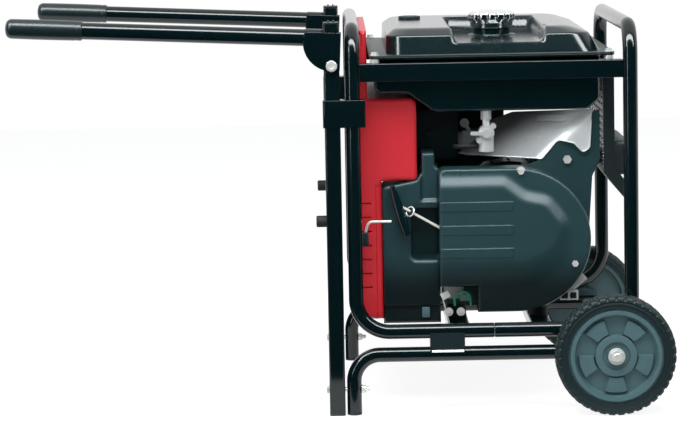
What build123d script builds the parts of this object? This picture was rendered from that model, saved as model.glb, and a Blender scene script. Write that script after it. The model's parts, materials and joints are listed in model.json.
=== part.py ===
"""Portable generator on a tube frame, with two folding handles and a two-wheel kit.

Frame: +Z is up and the floor is Z = 0. +X points from the handles to the wheels. Y = 0 is the middle
between the two sides, and -Y is the right-hand side of someone who holds the handles.
The origin lies on the floor, midway between the grip ends and the far edge of the tyres.
Lengths are millimetres.
"""

import math
import os

from build123d import *

os.makedirs("parts", exist_ok=True)

# ---- Driving dimensions: tube frame ----
tube_d = 28.0
tube_wall = 1.8
frame_length = 524.0
frame_width = 630.0
hoop_height = 745.5
hoop_bend = 55.0
rail_height = 158.0
rail_bend = 64.0
crossbar_width = 40.0
crossbar_height = 24.0
crossbar_front_inset = 196.0
crossbar_rear_inset = 170.0
rail_bar_height = 34.0
rail_bar_thickness = 4.0
rail_bar_shelf = 24.0
rail_bar_top = 669.0

# ---- Driving dimensions: handle posts, legs and wheels ----
post_width = 30.0
post_wall = 2.0
post_height = 745.0
post_setback = 38.6
cap_thickness = 4.0
cap_rib = 3.0
clamp_height = 52.0
clamp_drop = 195.0
clamp_wall = 3.0
leg_offset = 32.4
leg_bend = 50.0
leg_bolt_height = 49.0
leg_bolt_d = 8.0
axle_to_post = 526.4
axle_d = 16.0
wheel_d = 228.0
wheel_width = 50.0
tyre_depth = 24.0
wheel_gap = 6.0
spoke_count = 5

# ---- Driving dimensions: folding handles ----
handle_d = 32.0
handle_wall = 2.0
handle_reach = 615.0
handle_tilt = 2.8
handle_offset = 51.0
grip_d = 38.0
grip_length = 145.0
grip_round = 12.0
pivot_drop = 78.0
pivot_bolt_d = 10.0
bracket_wall = 3.5
bracket_radius = 55.0
bumper_height = 372.0
bumper_d = 22.0

# ---- Driving dimensions: fuel tank ----
tank_length = 465.0
tank_side_gap = 18.0
tank_flange = 3.0
tank_flange_height = 676.0
tank_wall = 1.2
tank_crown = 48.0
tank_depth = 104.0
tank_well_length = 160.0
tank_well_slope = 15.0
tank_well_depth = 28.0
tank_well_back = 150.0
tank_neck_rise = 14.0
tank_bolt_inset = 11.0
tank_corner = 14.0
crown_foot_rim = 57.0
crown_shoulder_rim = 79.0
crown_top_rim = 135.0
pan_front_rim = 10.5
pan_rear_rim = 27.0
pan_ledge_drop = 36.0
tank_shift = 2.8
fuel_cap_d = 93.0
fuel_cap_height = 34.0
neck_d = 72.0
gauge_d = 44.0

# ---- Driving dimensions: engine and alternator ----
crank_setback = 309.3
crank_height = 347.0
crank_d = 25.0
shroud_radius = 144.5
shroud_drop = 21.0
shroud_height = 276.0
shroud_front = 288.0
shroud_back = 232.0
shroud_wall = 3.0
boss_radius = 100.0
boss_height = 17.0
notch_length = 72.0
notch_height = 50.0
fan_d = 210.0
fan_width = 30.0
reel_d = 152.0
reel_core_d = 132.0
reel_width = 12.0
rope_d = 5.0
rope_hidden = 252.0
starter_grip_length = 98.0
starter_grip_width = 26.0
crankcase_length = 205.0
crankcase_height = 225.0
crankcase_depth = 170.0
cylinder_tilt = 50.0
housing_wall = 4.0
stator_d = 214.0
stator_depth = 236.0
rotor_d = 140.0
filter_length = 80.0
filter_width = 200.0
airbox_length = 175.0
airbox_depth = 95.0
muffler_length = 260.0
muffler_height = 68.0
muffler_depth = 54.0
exhaust_d = 28.0
guard_setback = 480.5
guard_length = 350.0
guard_flare = 40.0
guard_flange = 21.0
guard_wall = 2.0

# ---- Driving dimensions: panel and covers ----
panel_depth = 60.0
panel_strip = 36.0
panel_top = 728.0
panel_wall = 2.5
box_depth = 69.0
box_bottom = 446.0
box_top = 598.0
cover_front = 262.0
cover_wall = 2.5
recess_floor = 198.0

# ---- Clearances ----
running = 0.06
seat = 0.1
gap = 0.3
stand_off = 1.0

# ---- Places worked out from the driving dimensions ----
tilt = math.radians(handle_tilt)
handle_span = (
    (handle_reach - grip_round) * math.cos(tilt)
    - (handle_offset - grip_d / 2 + grip_round) * math.sin(tilt)
    + grip_round
)
wheel_span = axle_to_post + wheel_d / 2
post_x = (handle_span - wheel_span) / 2
front_x = post_x + post_setback
rear_x = front_x + frame_length
middle_x = front_x + frame_length / 2
leg_x = post_x + leg_offset
axle_x = post_x + axle_to_post
axle_z = wheel_d / 2
tube_r = tube_d / 2
side_y = frame_width / 2
tank_width = frame_width - 2 * tank_side_gap
pivot_height = post_height - pivot_drop
clamp_bottom = post_height - clamp_drop
hoop_z = hoop_height - tube_r
crank_x = front_x + crank_setback
crank_z = crank_height
sides = (("right", -1), ("left", 1))


def round_tube(points, bends, diameter, wall):
    """A hollow round tube along straight runs joined by arcs."""
    with BuildPart() as pipe:
        with BuildLine() as path:
            FilletPolyline(*points, radius=bends)
        with BuildSketch(Plane(origin=path.line @ 0, z_dir=path.line % 0)):
            Circle(diameter / 2)
            Circle(diameter / 2 - wall, mode=Mode.SUBTRACT)
        sweep(path=path.line)
    return pipe


def solid_rod(points, bends, diameter):
    """A solid round rod along straight runs joined by arcs."""
    with BuildPart() as rod:
        with BuildLine() as path:
            FilletPolyline(*points, radius=bends)
        with BuildSketch(Plane(origin=path.line @ 0, z_dir=path.line % 0)):
            Circle(diameter / 2)
        sweep(path=path.line)
    return rod


# ---- Tube frame ----

hoop_bends = [rail_bend, hoop_bend, hoop_bend, rail_bend]
for name, upright_x, seam in (("front_hoop", front_x, -gap), ("rear_hoop", rear_x, gap)):
    hoop = round_tube(
        [
            (middle_x + seam, -side_y, rail_height),
            (upright_x, -side_y, rail_height),
            (upright_x, -side_y, hoop_z),
            (upright_x, side_y, hoop_z),
            (upright_x, side_y, rail_height),
            (middle_x + seam, side_y, rail_height),
        ],
        hoop_bends,
        tube_d,
        tube_wall,
    )
    hoop.part.label = name
    export_step(hoop.part, f"parts/{name}.step")

crossbar_xs = (front_x + crossbar_front_inset, rear_x - crossbar_rear_inset)
crossbar_bottom = rail_height - tube_r
crossbar_reach = side_y - tube_r - seat
with BuildPart() as base_crossbars:
    for bar_x in crossbar_xs:
        with BuildSketch(Plane.XZ.offset(-crossbar_reach)):
            with Locations((bar_x, crossbar_bottom + crossbar_height / 2)):
                RectangleRounded(crossbar_width, crossbar_height, 3)
                RectangleRounded(crossbar_width - 5, crossbar_height - 5, 1, mode=Mode.SUBTRACT)
        extrude(amount=2 * crossbar_reach)
crossbar_top = crossbar_bottom + crossbar_height
base_crossbars.part.label = "base_crossbars"
export_step(base_crossbars.part, "parts/base_crossbars.step")

rail_start = front_x + tube_r + seat
rail_length = frame_length - tube_d - 2 * seat
tank_x = middle_x + tank_shift
bolt_reach = tank_length / 2 - tank_bolt_inset
shelf_bolt_xs = (tank_x - bolt_reach, tank_x + bolt_reach)
tank_bolt_y = tank_width / 2 - 9
with BuildPart() as tank_rails:
    for _, side in sides:
        wall_y = side * (side_y + rail_bar_thickness / 2)
        shelf_y = side * (side_y - rail_bar_shelf / 2)
        with Locations((rail_start + rail_length / 2, wall_y, rail_bar_top - rail_bar_height / 2)):
            Box(rail_length, rail_bar_thickness, rail_bar_height)
        with Locations((rail_start + rail_length / 2, shelf_y, rail_bar_top - rail_bar_thickness / 2)):
            Box(rail_length, rail_bar_shelf, rail_bar_thickness)
    for bolt_x in shelf_bolt_xs:
        for _, side in sides:
            with Locations((bolt_x, side * tank_bolt_y, rail_bar_top)):
                Cylinder(3.2, 3 * rail_bar_thickness, mode=Mode.SUBTRACT)
tank_rails.part.label = "tank_rails"
export_step(tank_rails.part, "parts/tank_rails.step")

# ---- Handle posts, their clamps, caps and bumpers ----

post_foot = cap_thickness
with BuildPart() as handle_posts:
    for _, side in sides:
        with BuildSketch(Plane.XY.offset(post_foot)):
            with Locations((post_x, side * side_y)):
                RectangleRounded(post_width, post_width, 3)
                inner_width = post_width - 2 * post_wall
                RectangleRounded(inner_width, inner_width, 1.5, mode=Mode.SUBTRACT)
        extrude(amount=post_height - post_foot)
    for _, side in sides:
        with BuildSketch(Plane.XZ.offset(-side * side_y - post_width)):
            with Locations((post_x, pivot_height)):
                Circle(pivot_bolt_d / 2 + running)
        extrude(amount=2 * post_width, mode=Mode.SUBTRACT)
        with BuildSketch(Plane.YZ.offset(post_x - post_width)):
            with Locations((side * side_y, leg_bolt_height)):
                Circle(leg_bolt_d / 2 + running)
        extrude(amount=2 * post_width, mode=Mode.SUBTRACT)
handle_posts.part.label = "handle_posts"
export_step(handle_posts.part, "parts/handle_posts.step")

clamp_start = post_x - post_width / 2 - clamp_wall
clamp_end = front_x + tube_r + 10
clamp_width = post_width + 2 * clamp_wall
with BuildPart() as post_clamps:
    for _, side in sides:
        with BuildSketch(Plane.XY.offset(clamp_bottom)):
            with Locations(((clamp_start + clamp_end) / 2, side * side_y)):
                RectangleRounded(clamp_end - clamp_start, clamp_width, 4)
            with Locations((post_x, side * side_y)):
                Rectangle(post_width + 2 * seat, post_width + 2 * seat, mode=Mode.SUBTRACT)
            with Locations((front_x, side * side_y)):
                Circle(tube_r + seat, mode=Mode.SUBTRACT)
        extrude(amount=clamp_height)
post_clamps.part.label = "post_clamps"
export_step(post_clamps.part, "parts/post_clamps.step")

bumper_thickness = handle_offset - handle_d / 2 - post_width / 2 - stand_off
with BuildPart() as post_bumpers:
    for _, side in sides:
        with BuildSketch(Plane.YZ.offset(post_x - post_width / 2 - bumper_thickness)):
            with Locations((side * side_y, bumper_height)):
                Circle(bumper_d / 2)
        extrude(amount=bumper_thickness)
    fillet(post_bumpers.edges().filter_by(GeomType.CIRCLE).group_by(Axis.X)[0], 3)
post_bumpers.part.label = "post_bumpers"
export_step(post_bumpers.part, "parts/post_bumpers.step")

# ---- Wheel kit: leg tubes, saddles, bolts, axle ----

leg_end = axle_x + tube_r + 6
with BuildPart() as leg_tubes:
    for _, side in sides:
        leg = round_tube(
            [
                (leg_x, side * side_y, cap_thickness),
                (leg_x, side * side_y, axle_z),
                (leg_end, side * side_y, axle_z),
            ],
            leg_bend,
            tube_d,
            tube_wall,
        )
        add(leg.part)
    with BuildSketch(Plane.XZ.offset(-frame_width)):
        with Locations((axle_x, axle_z)):
            Circle(axle_d / 2 + running)
    extrude(amount=2 * frame_width, mode=Mode.SUBTRACT)
    for _, side in sides:
        with BuildSketch(Plane.YZ.offset(leg_x - tube_d)):
            with Locations((side * side_y, leg_bolt_height)):
                Circle(leg_bolt_d / 2 + running)
        extrude(amount=2 * tube_d, mode=Mode.SUBTRACT)
leg_tubes.part.label = "leg_tubes"
export_step(leg_tubes.part, "parts/leg_tubes.step")

foot_height = post_foot + 10
plug_width = post_width - 2 * post_wall - seat
with BuildPart() as tube_caps:
    for _, side in sides:
        post_at = (post_x, side * side_y)
        with BuildSketch(Plane.XY.offset(post_height)):
            with Locations(post_at):
                RectangleRounded(post_width, post_width, 3)
        extrude(amount=cap_thickness)
        with BuildSketch(Plane.XY.offset(post_height - 14)):
            with Locations(post_at):
                RectangleRounded(plug_width, plug_width, 1.4)
        extrude(amount=14)
        with BuildSketch(Plane.XY.offset(post_height + cap_thickness)):
            with Locations((post_x - 5, side * side_y), (post_x + 5, side * side_y)):
                RectangleRounded(cap_rib, post_width - 8, 1.2)
        extrude(amount=cap_rib)
        with BuildSketch():
            with Locations(post_at):
                RectangleRounded(post_width, post_width, 3)
        extrude(amount=post_foot)
        with BuildSketch(Plane.XY.offset(post_foot)):
            with Locations(post_at):
                RectangleRounded(plug_width, plug_width, 1.4)
        extrude(amount=foot_height - post_foot)
        with BuildSketch():
            with Locations((leg_x, side * side_y)):
                Circle(tube_r)
        extrude(amount=cap_thickness)
        with BuildSketch(Plane.XY.offset(cap_thickness)):
            with Locations((leg_x, side * side_y)):
                Circle(tube_r - tube_wall - seat)
        extrude(amount=foot_height - cap_thickness)
        with BuildSketch(Plane.YZ.offset(leg_end)):
            with Locations((side * side_y, axle_z)):
                Circle(tube_r)
        extrude(amount=cap_thickness)
tube_caps.part.label = "tube_caps"
export_step(tube_caps.part, "parts/tube_caps.step")

saddle_length = 66.0
saddle_x = front_x + 172.3
saddle_plate = 2.5
with BuildPart() as saddle_blocks:
    for _, side in sides:
        with BuildSketch(Plane.YZ.offset(saddle_x - saddle_length / 2)):
            with Locations((side * side_y, (rail_height + axle_z) / 2)):
                Rectangle(tube_d, rail_height - axle_z)
            with Locations((side * side_y, rail_height)):
                Circle(tube_r + seat, mode=Mode.SUBTRACT)
            with Locations((side * side_y, axle_z)):
                Circle(tube_r + saddle_plate + 2 * seat, mode=Mode.SUBTRACT)
        extrude(amount=saddle_length)
saddle_blocks.part.label = "saddle_blocks"
export_step(saddle_blocks.part, "parts/saddle_blocks.step")

with BuildPart() as saddle_plates:
    for _, side in sides:
        with BuildSketch(Plane.YZ.offset(saddle_x - saddle_length / 2 + 3)):
            with Locations((side * side_y, axle_z)):
                Circle(tube_r + saddle_plate + seat)
                Circle(tube_r + seat, mode=Mode.SUBTRACT)
            with Locations((side * side_y, axle_z - tube_r + 5)):
                Rectangle(2 * tube_d, tube_d, mode=Mode.SUBTRACT)
        extrude(amount=saddle_length - 5)
saddle_plates.part.label = "saddle_plates"
export_step(saddle_plates.part, "parts/saddle_plates.step")

wheel_inner_y = side_y + tube_r + wheel_gap
wheel_outer_y = wheel_inner_y + wheel_width
hub_r = 34.0
axle_washer = 3.0
axle_nut = 8.0
axle_half = wheel_outer_y + axle_washer + axle_nut + 4
with BuildPart() as axle:
    with BuildSketch(Plane.XZ.offset(-axle_half)):
        with Locations((axle_x, axle_z)):
            Circle(axle_d / 2)
    extrude(amount=2 * axle_half)
    chamfer(axle.edges().filter_by(GeomType.CIRCLE), 1.5)
axle.part.label = "axle"
export_step(axle.part, "parts/axle.step")

# ---- Wheels ----


def sector(inner, outer, degrees):
    """A ring sector that is centred on the X axis."""
    with BuildSketch() as piece:
        with BuildLine():
            inside = CenterArc((0, 0), inner, -degrees / 2, degrees)
            outside = CenterArc((0, 0), outer, -degrees / 2, degrees)
            Line(inside @ 0, outside @ 0)
            Line(inside @ 1, outside @ 1)
        make_face()
    return piece


rim_r = wheel_d / 2 - tyre_depth
rim_wall = 5.0
web_depth = 17.0
web_wall = 6.0
spoke_rise = 8.0
half_wheel = wheel_width / 2
for name, side in sides:
    hub_plane = Plane(
        origin=(axle_x, side * (wheel_inner_y + half_wheel), axle_z), x_dir=(1, 0, 0), z_dir=(0, side, 0)
    )
    with BuildPart() as rim:
        with BuildSketch(hub_plane.offset(-half_wheel + 3)):
            Circle(rim_r)
            Circle(rim_r - rim_wall, mode=Mode.SUBTRACT)
        extrude(amount=wheel_width - 6)
        web_top = half_wheel - web_depth
        with BuildSketch(hub_plane.offset(web_top - web_wall)):
            Circle(rim_r - rim_wall)
        extrude(amount=web_wall)
        with BuildSketch(hub_plane.offset(-half_wheel)):
            Circle(hub_r - 8)
        extrude(amount=wheel_width)
        with BuildSketch(hub_plane.offset(web_top)):
            Circle(hub_r + 6)
        extrude(amount=web_depth - 5)
        with BuildSketch(hub_plane.offset(web_top)):
            with PolarLocations(0, spoke_count, start_angle=54):
                add(sector(hub_r + 5, rim_r - rim_wall, 180 / spoke_count).sketch_local)
        extrude(amount=spoke_rise)
        with BuildSketch(hub_plane.offset(-wheel_width)):
            Circle(axle_d / 2 + running)
        extrude(amount=2 * wheel_width, mode=Mode.SUBTRACT)
    rim.part.label = f"wheel_rim_{name}"
    export_step(rim.part, f"parts/wheel_rim_{name}.step")
    with BuildPart() as tyre:
        with BuildSketch(hub_plane.offset(-half_wheel)):
            Circle(wheel_d / 2)
        extrude(amount=wheel_width)
        fillet(tyre.edges().filter_by(GeomType.CIRCLE), 9)
        with BuildSketch(hub_plane.offset(-half_wheel)):
            Circle(rim_r + seat)
        extrude(amount=wheel_width, mode=Mode.SUBTRACT)
    tyre.part.label = f"tyre_{name}"
    export_step(tyre.part, f"parts/tyre_{name}.step")

# ---- Folding handles ----

handle_dir = Vector(-math.cos(tilt), 0, math.sin(tilt))
handle_up = Vector(math.sin(tilt), 0, math.cos(tilt))
tube_start = (post_width / 2 + gap + (handle_offset + handle_d / 2) * math.sin(tilt)) / math.cos(tilt)
cheek_inner = max(handle_d, post_width + 2 * stand_off) / 2
cheek_outer = cheek_inner + bracket_wall
for name, side in sides:
    pivot = Vector(post_x, side * side_y, pivot_height)
    handle_plane = Plane(origin=pivot, x_dir=handle_dir, z_dir=(0, 1, 0))
    tube_plane = Plane(origin=pivot + handle_up * handle_offset, x_dir=(0, 1, 0), z_dir=handle_dir)
    with BuildPart() as handle_tube:
        with BuildSketch(tube_plane.offset(tube_start)):
            Circle(handle_d / 2)
            Circle(handle_d / 2 - handle_wall, mode=Mode.SUBTRACT)
        extrude(amount=handle_reach - grip_round - tube_start)
    handle_tube.part.label = f"handle_tube_{name}"
    export_step(handle_tube.part, f"parts/handle_tube_{name}.step")
    with BuildPart() as grip:
        with BuildSketch(tube_plane.offset(handle_reach - grip_length)):
            Circle(grip_d / 2)
        extrude(amount=grip_length)
        fillet(grip.edges().filter_by(GeomType.CIRCLE).sort_by(Axis.X)[0], grip_round)
        with BuildSketch(tube_plane.offset(handle_reach - grip_length)):
            Circle(handle_d / 2 + seat)
        extrude(amount=grip_length - grip_round + seat, mode=Mode.SUBTRACT)
    grip.part.label = f"handle_grip_{name}"
    export_step(grip.part, f"parts/handle_grip_{name}.step")
    with BuildPart() as bracket:
        for cheek_start in (-cheek_outer, cheek_inner):
            with BuildSketch(handle_plane.offset(cheek_start)):
                with Locations((0, handle_offset - 6)):
                    Circle(bracket_radius)
                with Locations((20, handle_offset / 2)):
                    Rectangle(2 * 36, handle_offset + 24, mode=Mode.INTERSECT)
                Circle(post_width / 2 + 1)
            extrude(amount=bracket_wall)
        with BuildSketch(handle_plane.offset(-cheek_inner)):
            with Locations(((tube_start + 53) / 2, 30)):
                Rectangle(53 - tube_start, 24)
        extrude(amount=2 * cheek_inner)
        with BuildSketch(tube_plane):
            Circle(handle_d / 2 + seat)
        extrude(amount=100, mode=Mode.SUBTRACT)
        with BuildSketch(handle_plane.offset(-2 * cheek_outer)):
            Circle(pivot_bolt_d / 2 + running)
        extrude(amount=4 * cheek_outer, mode=Mode.SUBTRACT)
    bracket.part.label = f"handle_bracket_{name}"
    export_step(bracket.part, f"parts/handle_bracket_{name}.step")

# ---- Fasteners of the frame, handles and axle ----

bolt_head = 5.5
leg_bolt_start = post_x - post_width / 2 - bolt_head - seat
leg_bolt_end = leg_x + tube_r + 16
wing_start = leg_x + tube_r + seat
pivot_head = 6.4
pivot_nut = 8.0
with BuildPart() as frame_fasteners:
    for _, side in sides:
        leg_bolt_at = (side * side_y, leg_bolt_height)
        with BuildSketch(Plane.YZ.offset(leg_bolt_start)):
            with Locations(leg_bolt_at):
                RegularPolygon(7.5, 6)
        extrude(amount=bolt_head)
        with BuildSketch(Plane.YZ.offset(leg_bolt_start)):
            with Locations(leg_bolt_at):
                Circle(leg_bolt_d / 2)
        extrude(amount=leg_bolt_end - leg_bolt_start)
        with BuildSketch(Plane.YZ.offset(wing_start)):
            with Locations(leg_bolt_at):
                Circle(leg_bolt_d)
        extrude(amount=leg_bolt_d)
        with BuildSketch(Plane.XY.offset(leg_bolt_height)):
            for wing in (-1, 1):
                with BuildLine():
                    Polyline(
                        (wing_start + 2, side * side_y + 5 * wing),
                        (wing_start + 9, side * side_y + 19 * wing),
                        (wing_start + 17, side * side_y + 19 * wing),
                        (wing_start + 8, side * side_y + 5 * wing),
                        close=True,
                    )
                make_face()
        extrude(amount=1.5, both=True)
    for _, side in sides:
        head_at = (post_x, side * (side_y + cheek_outer + gap), pivot_height)
        head_plane = Plane(origin=head_at, x_dir=(1, 0, 0), z_dir=(0, side, 0))
        bolt_grip = 2 * cheek_outer + 2 * gap
        with BuildSketch(head_plane):
            RegularPolygon(9.2, 6)
        extrude(amount=pivot_head)
        with BuildSketch(head_plane.offset(-bolt_grip - pivot_nut)):
            RegularPolygon(9.2, 6)
        extrude(amount=pivot_nut)
        with BuildSketch(head_plane.offset(-bolt_grip - pivot_nut - 4)):
            Circle(pivot_bolt_d / 2)
        extrude(amount=bolt_grip + pivot_nut + 4)
    for _, side in sides:
        washer_at = (axle_x, side * (wheel_outer_y + gap), axle_z)
        washer_plane = Plane(origin=washer_at, x_dir=(1, 0, 0), z_dir=(0, side, 0))
        with BuildSketch(washer_plane):
            Circle(axle_d)
            Circle(axle_d / 2 + seat, mode=Mode.SUBTRACT)
        extrude(amount=axle_washer)
        with BuildSketch(washer_plane.offset(axle_washer)):
            RegularPolygon(0.8 * axle_d, 6)
            Circle(axle_d / 2 + seat, mode=Mode.SUBTRACT)
        extrude(amount=axle_nut)
frame_fasteners.part.label = "frame_fasteners"
export_step(frame_fasteners.part, "parts/frame_fasteners.step")

# ---- Fuel tank ----

crown_base = tank_flange_height + 2 * tank_flange
crown_top = crown_base + tank_crown
shoulder_z = crown_base + 0.73 * tank_crown
cap_x = front_x + 280.3
well_z = crown_top - tank_well_depth
well_half = tank_well_length / 2


def crown(shrink):
    """The upper shell's outside, or its inside when shrunk by the wall."""
    with BuildPart() as solid:
        for height, length, width, centre in (
            (crown_base - shrink, tank_length - crown_foot_rim, tank_width - 48, tank_x + 5),
            (shoulder_z - shrink, tank_length - crown_shoulder_rim, tank_width - 74, tank_x - 5),
            (crown_top - shrink, tank_length - crown_top_rim, tank_width - 130, tank_x - 16),
        ):
            with BuildSketch(Plane.XY.offset(height)):
                with Locations((centre, 0)):
                    RectangleRounded(length - 2 * shrink, width - 2 * shrink, 40 - shrink)
        loft(ruled=True)
        with BuildSketch(Plane.XZ.offset(-tank_well_back - shrink)):
            with BuildLine():
                Polyline(
                    (cap_x - well_half - shrink, well_z - shrink),
                    (cap_x + well_half + shrink, well_z - shrink),
                    (cap_x + well_half + shrink + 2 * tank_well_slope, well_z + 2 * tank_well_depth),
                    (cap_x - well_half - shrink - 2 * tank_well_slope, well_z + 2 * tank_well_depth),
                    close=True,
                )
            make_face()
        extrude(amount=tank_width, mode=Mode.SUBTRACT)
    return solid


crown_outside = crown(0)
crown_inside = crown(tank_wall)
with BuildPart() as tank_upper:
    with BuildSketch(Plane.XY.offset(crown_base - tank_flange)):
        with Locations((tank_x, 0)):
            RectangleRounded(tank_length, tank_width, tank_corner)
    extrude(amount=tank_flange)
    add(crown_outside.part)
    add(crown_inside.part, mode=Mode.SUBTRACT)
    with BuildSketch(Plane.XY.offset(crown_base - tank_flange)):
        with Locations((tank_x + 5, 0)):
            crown_length = tank_length - crown_foot_rim - 2 * tank_wall
            RectangleRounded(crown_length, tank_width - 48 - 2 * tank_wall, 40 - tank_wall)
    extrude(amount=tank_flange, mode=Mode.SUBTRACT)
    with BuildSketch(Plane.XY.offset(well_z - tank_wall)):
        with Locations((cap_x, 0)):
            Circle(neck_d / 2)
    extrude(amount=tank_neck_rise + 4 + tank_wall)
    with BuildSketch(Plane.XY.offset(well_z - 20)):
        with Locations((cap_x, 0)):
            Circle(neck_d / 2 - 4)
    extrude(amount=60, mode=Mode.SUBTRACT)
    for bolt_x in shelf_bolt_xs:
        for _, side in sides:
            with Locations((bolt_x, side * tank_bolt_y, crown_base)):
                Cylinder(3.2, 4 * tank_flange, mode=Mode.SUBTRACT)
tank_upper.part.label = "tank_upper"
export_step(tank_upper.part, "parts/tank_upper.step")

lower_start = tank_x - tank_length / 2 + pan_front_rim
lower_end = tank_x + tank_length / 2 - pan_rear_rim
lower_step = tank_depth - pan_ledge_drop


def pan(shrink):
    """The lower shell's outside, or its inside when shrunk by the wall."""
    base = tank_flange_height - tank_depth + shrink
    ledge = tank_flange_height - lower_step + shrink
    with BuildPart() as solid:
        with BuildSketch(Plane.XZ.offset(-(tank_width / 2 - 24 - shrink))):
            with BuildLine():
                FilletPolyline(
                    (lower_start + shrink, tank_flange_height + shrink),
                    (lower_start + shrink, ledge),
                    (lower_start + 62, ledge),
                    (lower_start + 112, base),
                    (lower_end - 22 + 0.4 * shrink, base),
                    (lower_end - shrink, base + 19),
                    (lower_end - shrink, tank_flange_height + shrink),
                    radius=[14, 22, 22, 14, 8],
                )
                Line(
                    (lower_end - shrink, tank_flange_height + shrink),
                    (lower_start + shrink, tank_flange_height + shrink),
                )
            make_face()
        extrude(amount=tank_width - 48 - 2 * shrink)
    return solid


pan_outside = pan(0)
pan_inside = pan(tank_wall)
outlet_x = front_x + 254.0
outlet_y = 39.0 - tank_width / 2
pan_base = tank_flange_height - tank_depth
with BuildPart() as tank_lower:
    with BuildSketch(Plane.XY.offset(tank_flange_height)):
        with Locations((tank_x, 0)):
            RectangleRounded(tank_length, tank_width, tank_corner)
    extrude(amount=tank_flange)
    add(pan_outside.part)
    with BuildSketch(Plane.XY.offset(tank_flange_height)):
        with Locations(((lower_start + lower_end) / 2, 0)):
            Rectangle(lower_end - lower_start - 2 * tank_wall, tank_width - 48 - 2 * tank_wall)
    extrude(amount=tank_flange, mode=Mode.SUBTRACT)
    add(pan_inside.part, mode=Mode.SUBTRACT)
    with Locations((outlet_x, outlet_y, pan_base)):
        Cylinder(5, 6 * tank_wall, mode=Mode.SUBTRACT)
    for bolt_x in shelf_bolt_xs:
        for _, side in sides:
            with Locations((bolt_x, side * tank_bolt_y, tank_flange_height)):
                Cylinder(3.2, 4 * tank_flange, mode=Mode.SUBTRACT)
tank_lower.part.label = "tank_lower"
export_step(tank_lower.part, "parts/tank_lower.step")

cap_base = well_z + tank_neck_rise
with BuildPart() as fuel_cap:
    with BuildSketch(Plane.XY.offset(cap_base)):
        with Locations((cap_x, 0)):
            Circle(fuel_cap_d / 2 - 4)
    extrude(amount=0.55 * fuel_cap_height, taper=-8)
    with BuildSketch(Plane.XY.offset(cap_base + 0.55 * fuel_cap_height)):
        with Locations((cap_x, 0)):
            Circle(fuel_cap_d / 2)
            with PolarLocations(fuel_cap_d / 2 + 1, 24):
                Circle(3, mode=Mode.SUBTRACT)
    extrude(amount=0.45 * fuel_cap_height)
    with BuildSketch(Plane.XY.offset(cap_base)):
        with Locations((cap_x, 0)):
            Circle(neck_d / 2 + stand_off)
    extrude(amount=0.5 * fuel_cap_height, mode=Mode.SUBTRACT)
fuel_cap.part.label = "fuel_cap"
export_step(fuel_cap.part, "parts/fuel_cap.step")

gauge_x = cap_x - 160.3
gauge_y = 100.0
with BuildPart() as fuel_gauge:
    with BuildSketch(Plane.XY.offset(crown_top + seat)):
        with Locations((gauge_x, gauge_y)):
            Circle(gauge_d / 2)
    extrude(amount=6)
    chamfer(fuel_gauge.edges().filter_by(GeomType.CIRCLE).group_by(Axis.Z)[-1], 1.5)
fuel_gauge.part.label = "fuel_gauge"
export_step(fuel_gauge.part, "parts/fuel_gauge.step")

valve_z = pan_base - 42
valve_bottom = valve_z - 36
valve_body_d = 30.0
bowl_d = 29.0
valve_front = bowl_d / 2 + 0.5
with BuildPart() as fuel_valve:
    with BuildSketch(Plane.XY.offset(pan_base - 17)):
        with Locations((outlet_x, outlet_y)):
            RegularPolygon(10, 6)
    extrude(amount=17 - seat)
    with BuildSketch(Plane.XY.offset(pan_base - 17)):
        with Locations((outlet_x, outlet_y)):
            Circle(4.8)
    extrude(amount=24)
    with Locations((outlet_x, outlet_y, (valve_z + pan_base - 10) / 2)):
        Cylinder(7, pan_base - 10 - valve_z)
    with BuildSketch(Plane.XZ.offset(-outlet_y - 12)):
        with Locations((outlet_x, valve_z)):
            Circle(valve_body_d / 2)
        with Locations((outlet_x - 14, valve_z - 14), (outlet_x + 13, valve_z + 13)):
            Circle(5.5)
    extrude(amount=12 + valve_front)
    with Locations((outlet_x, outlet_y, valve_bottom + 13)):
        Cylinder(bowl_d / 2, 26)
    with Locations((outlet_x, outlet_y, valve_bottom + 3)):
        Cylinder(8, 8)
fuel_valve.part.label = "fuel_valve"
export_step(fuel_valve.part, "parts/fuel_valve.step")

lever_y = outlet_y - valve_front - gap
with BuildPart() as valve_lever:
    with BuildSketch(Plane.XZ.offset(-lever_y)):
        with Locations((outlet_x, valve_z)):
            Circle(9)
        with Locations((outlet_x - 17, valve_z)):
            RectangleRounded(28, 7, 3)
    extrude(amount=6)
valve_lever.part.label = "fuel_valve_lever"
export_step(valve_lever.part, "parts/fuel_valve_lever.step")

# ---- Engine: shroud, starter, fan and crank ----

outer_z = crank_z - shroud_drop
shroud_x = crank_x - 3.5
shroud_left = shroud_x - shroud_radius
shroud_low = outer_z - shroud_height / 2


def shroud_outline(shrink):
    """A square left side with a round right side."""
    with BuildSketch(Plane.XZ.offset(shroud_back)) as outline:
        with Locations((shroud_x, outer_z)):
            Ellipse(shroud_radius - shrink, shroud_height / 2 - shrink)
        with Locations((shroud_x - shroud_radius / 2, outer_z)):
            width = shroud_radius - shrink
            with Locations((shrink / 2, 0)):
                RectangleRounded(width, shroud_height - 2 * shrink, 12)
        with Locations((shroud_left + notch_length / 2, shroud_low + notch_height / 2)):
            Rectangle(notch_length + 2 * shrink, notch_height + 2 * shrink, mode=Mode.SUBTRACT)
    return outline


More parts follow.
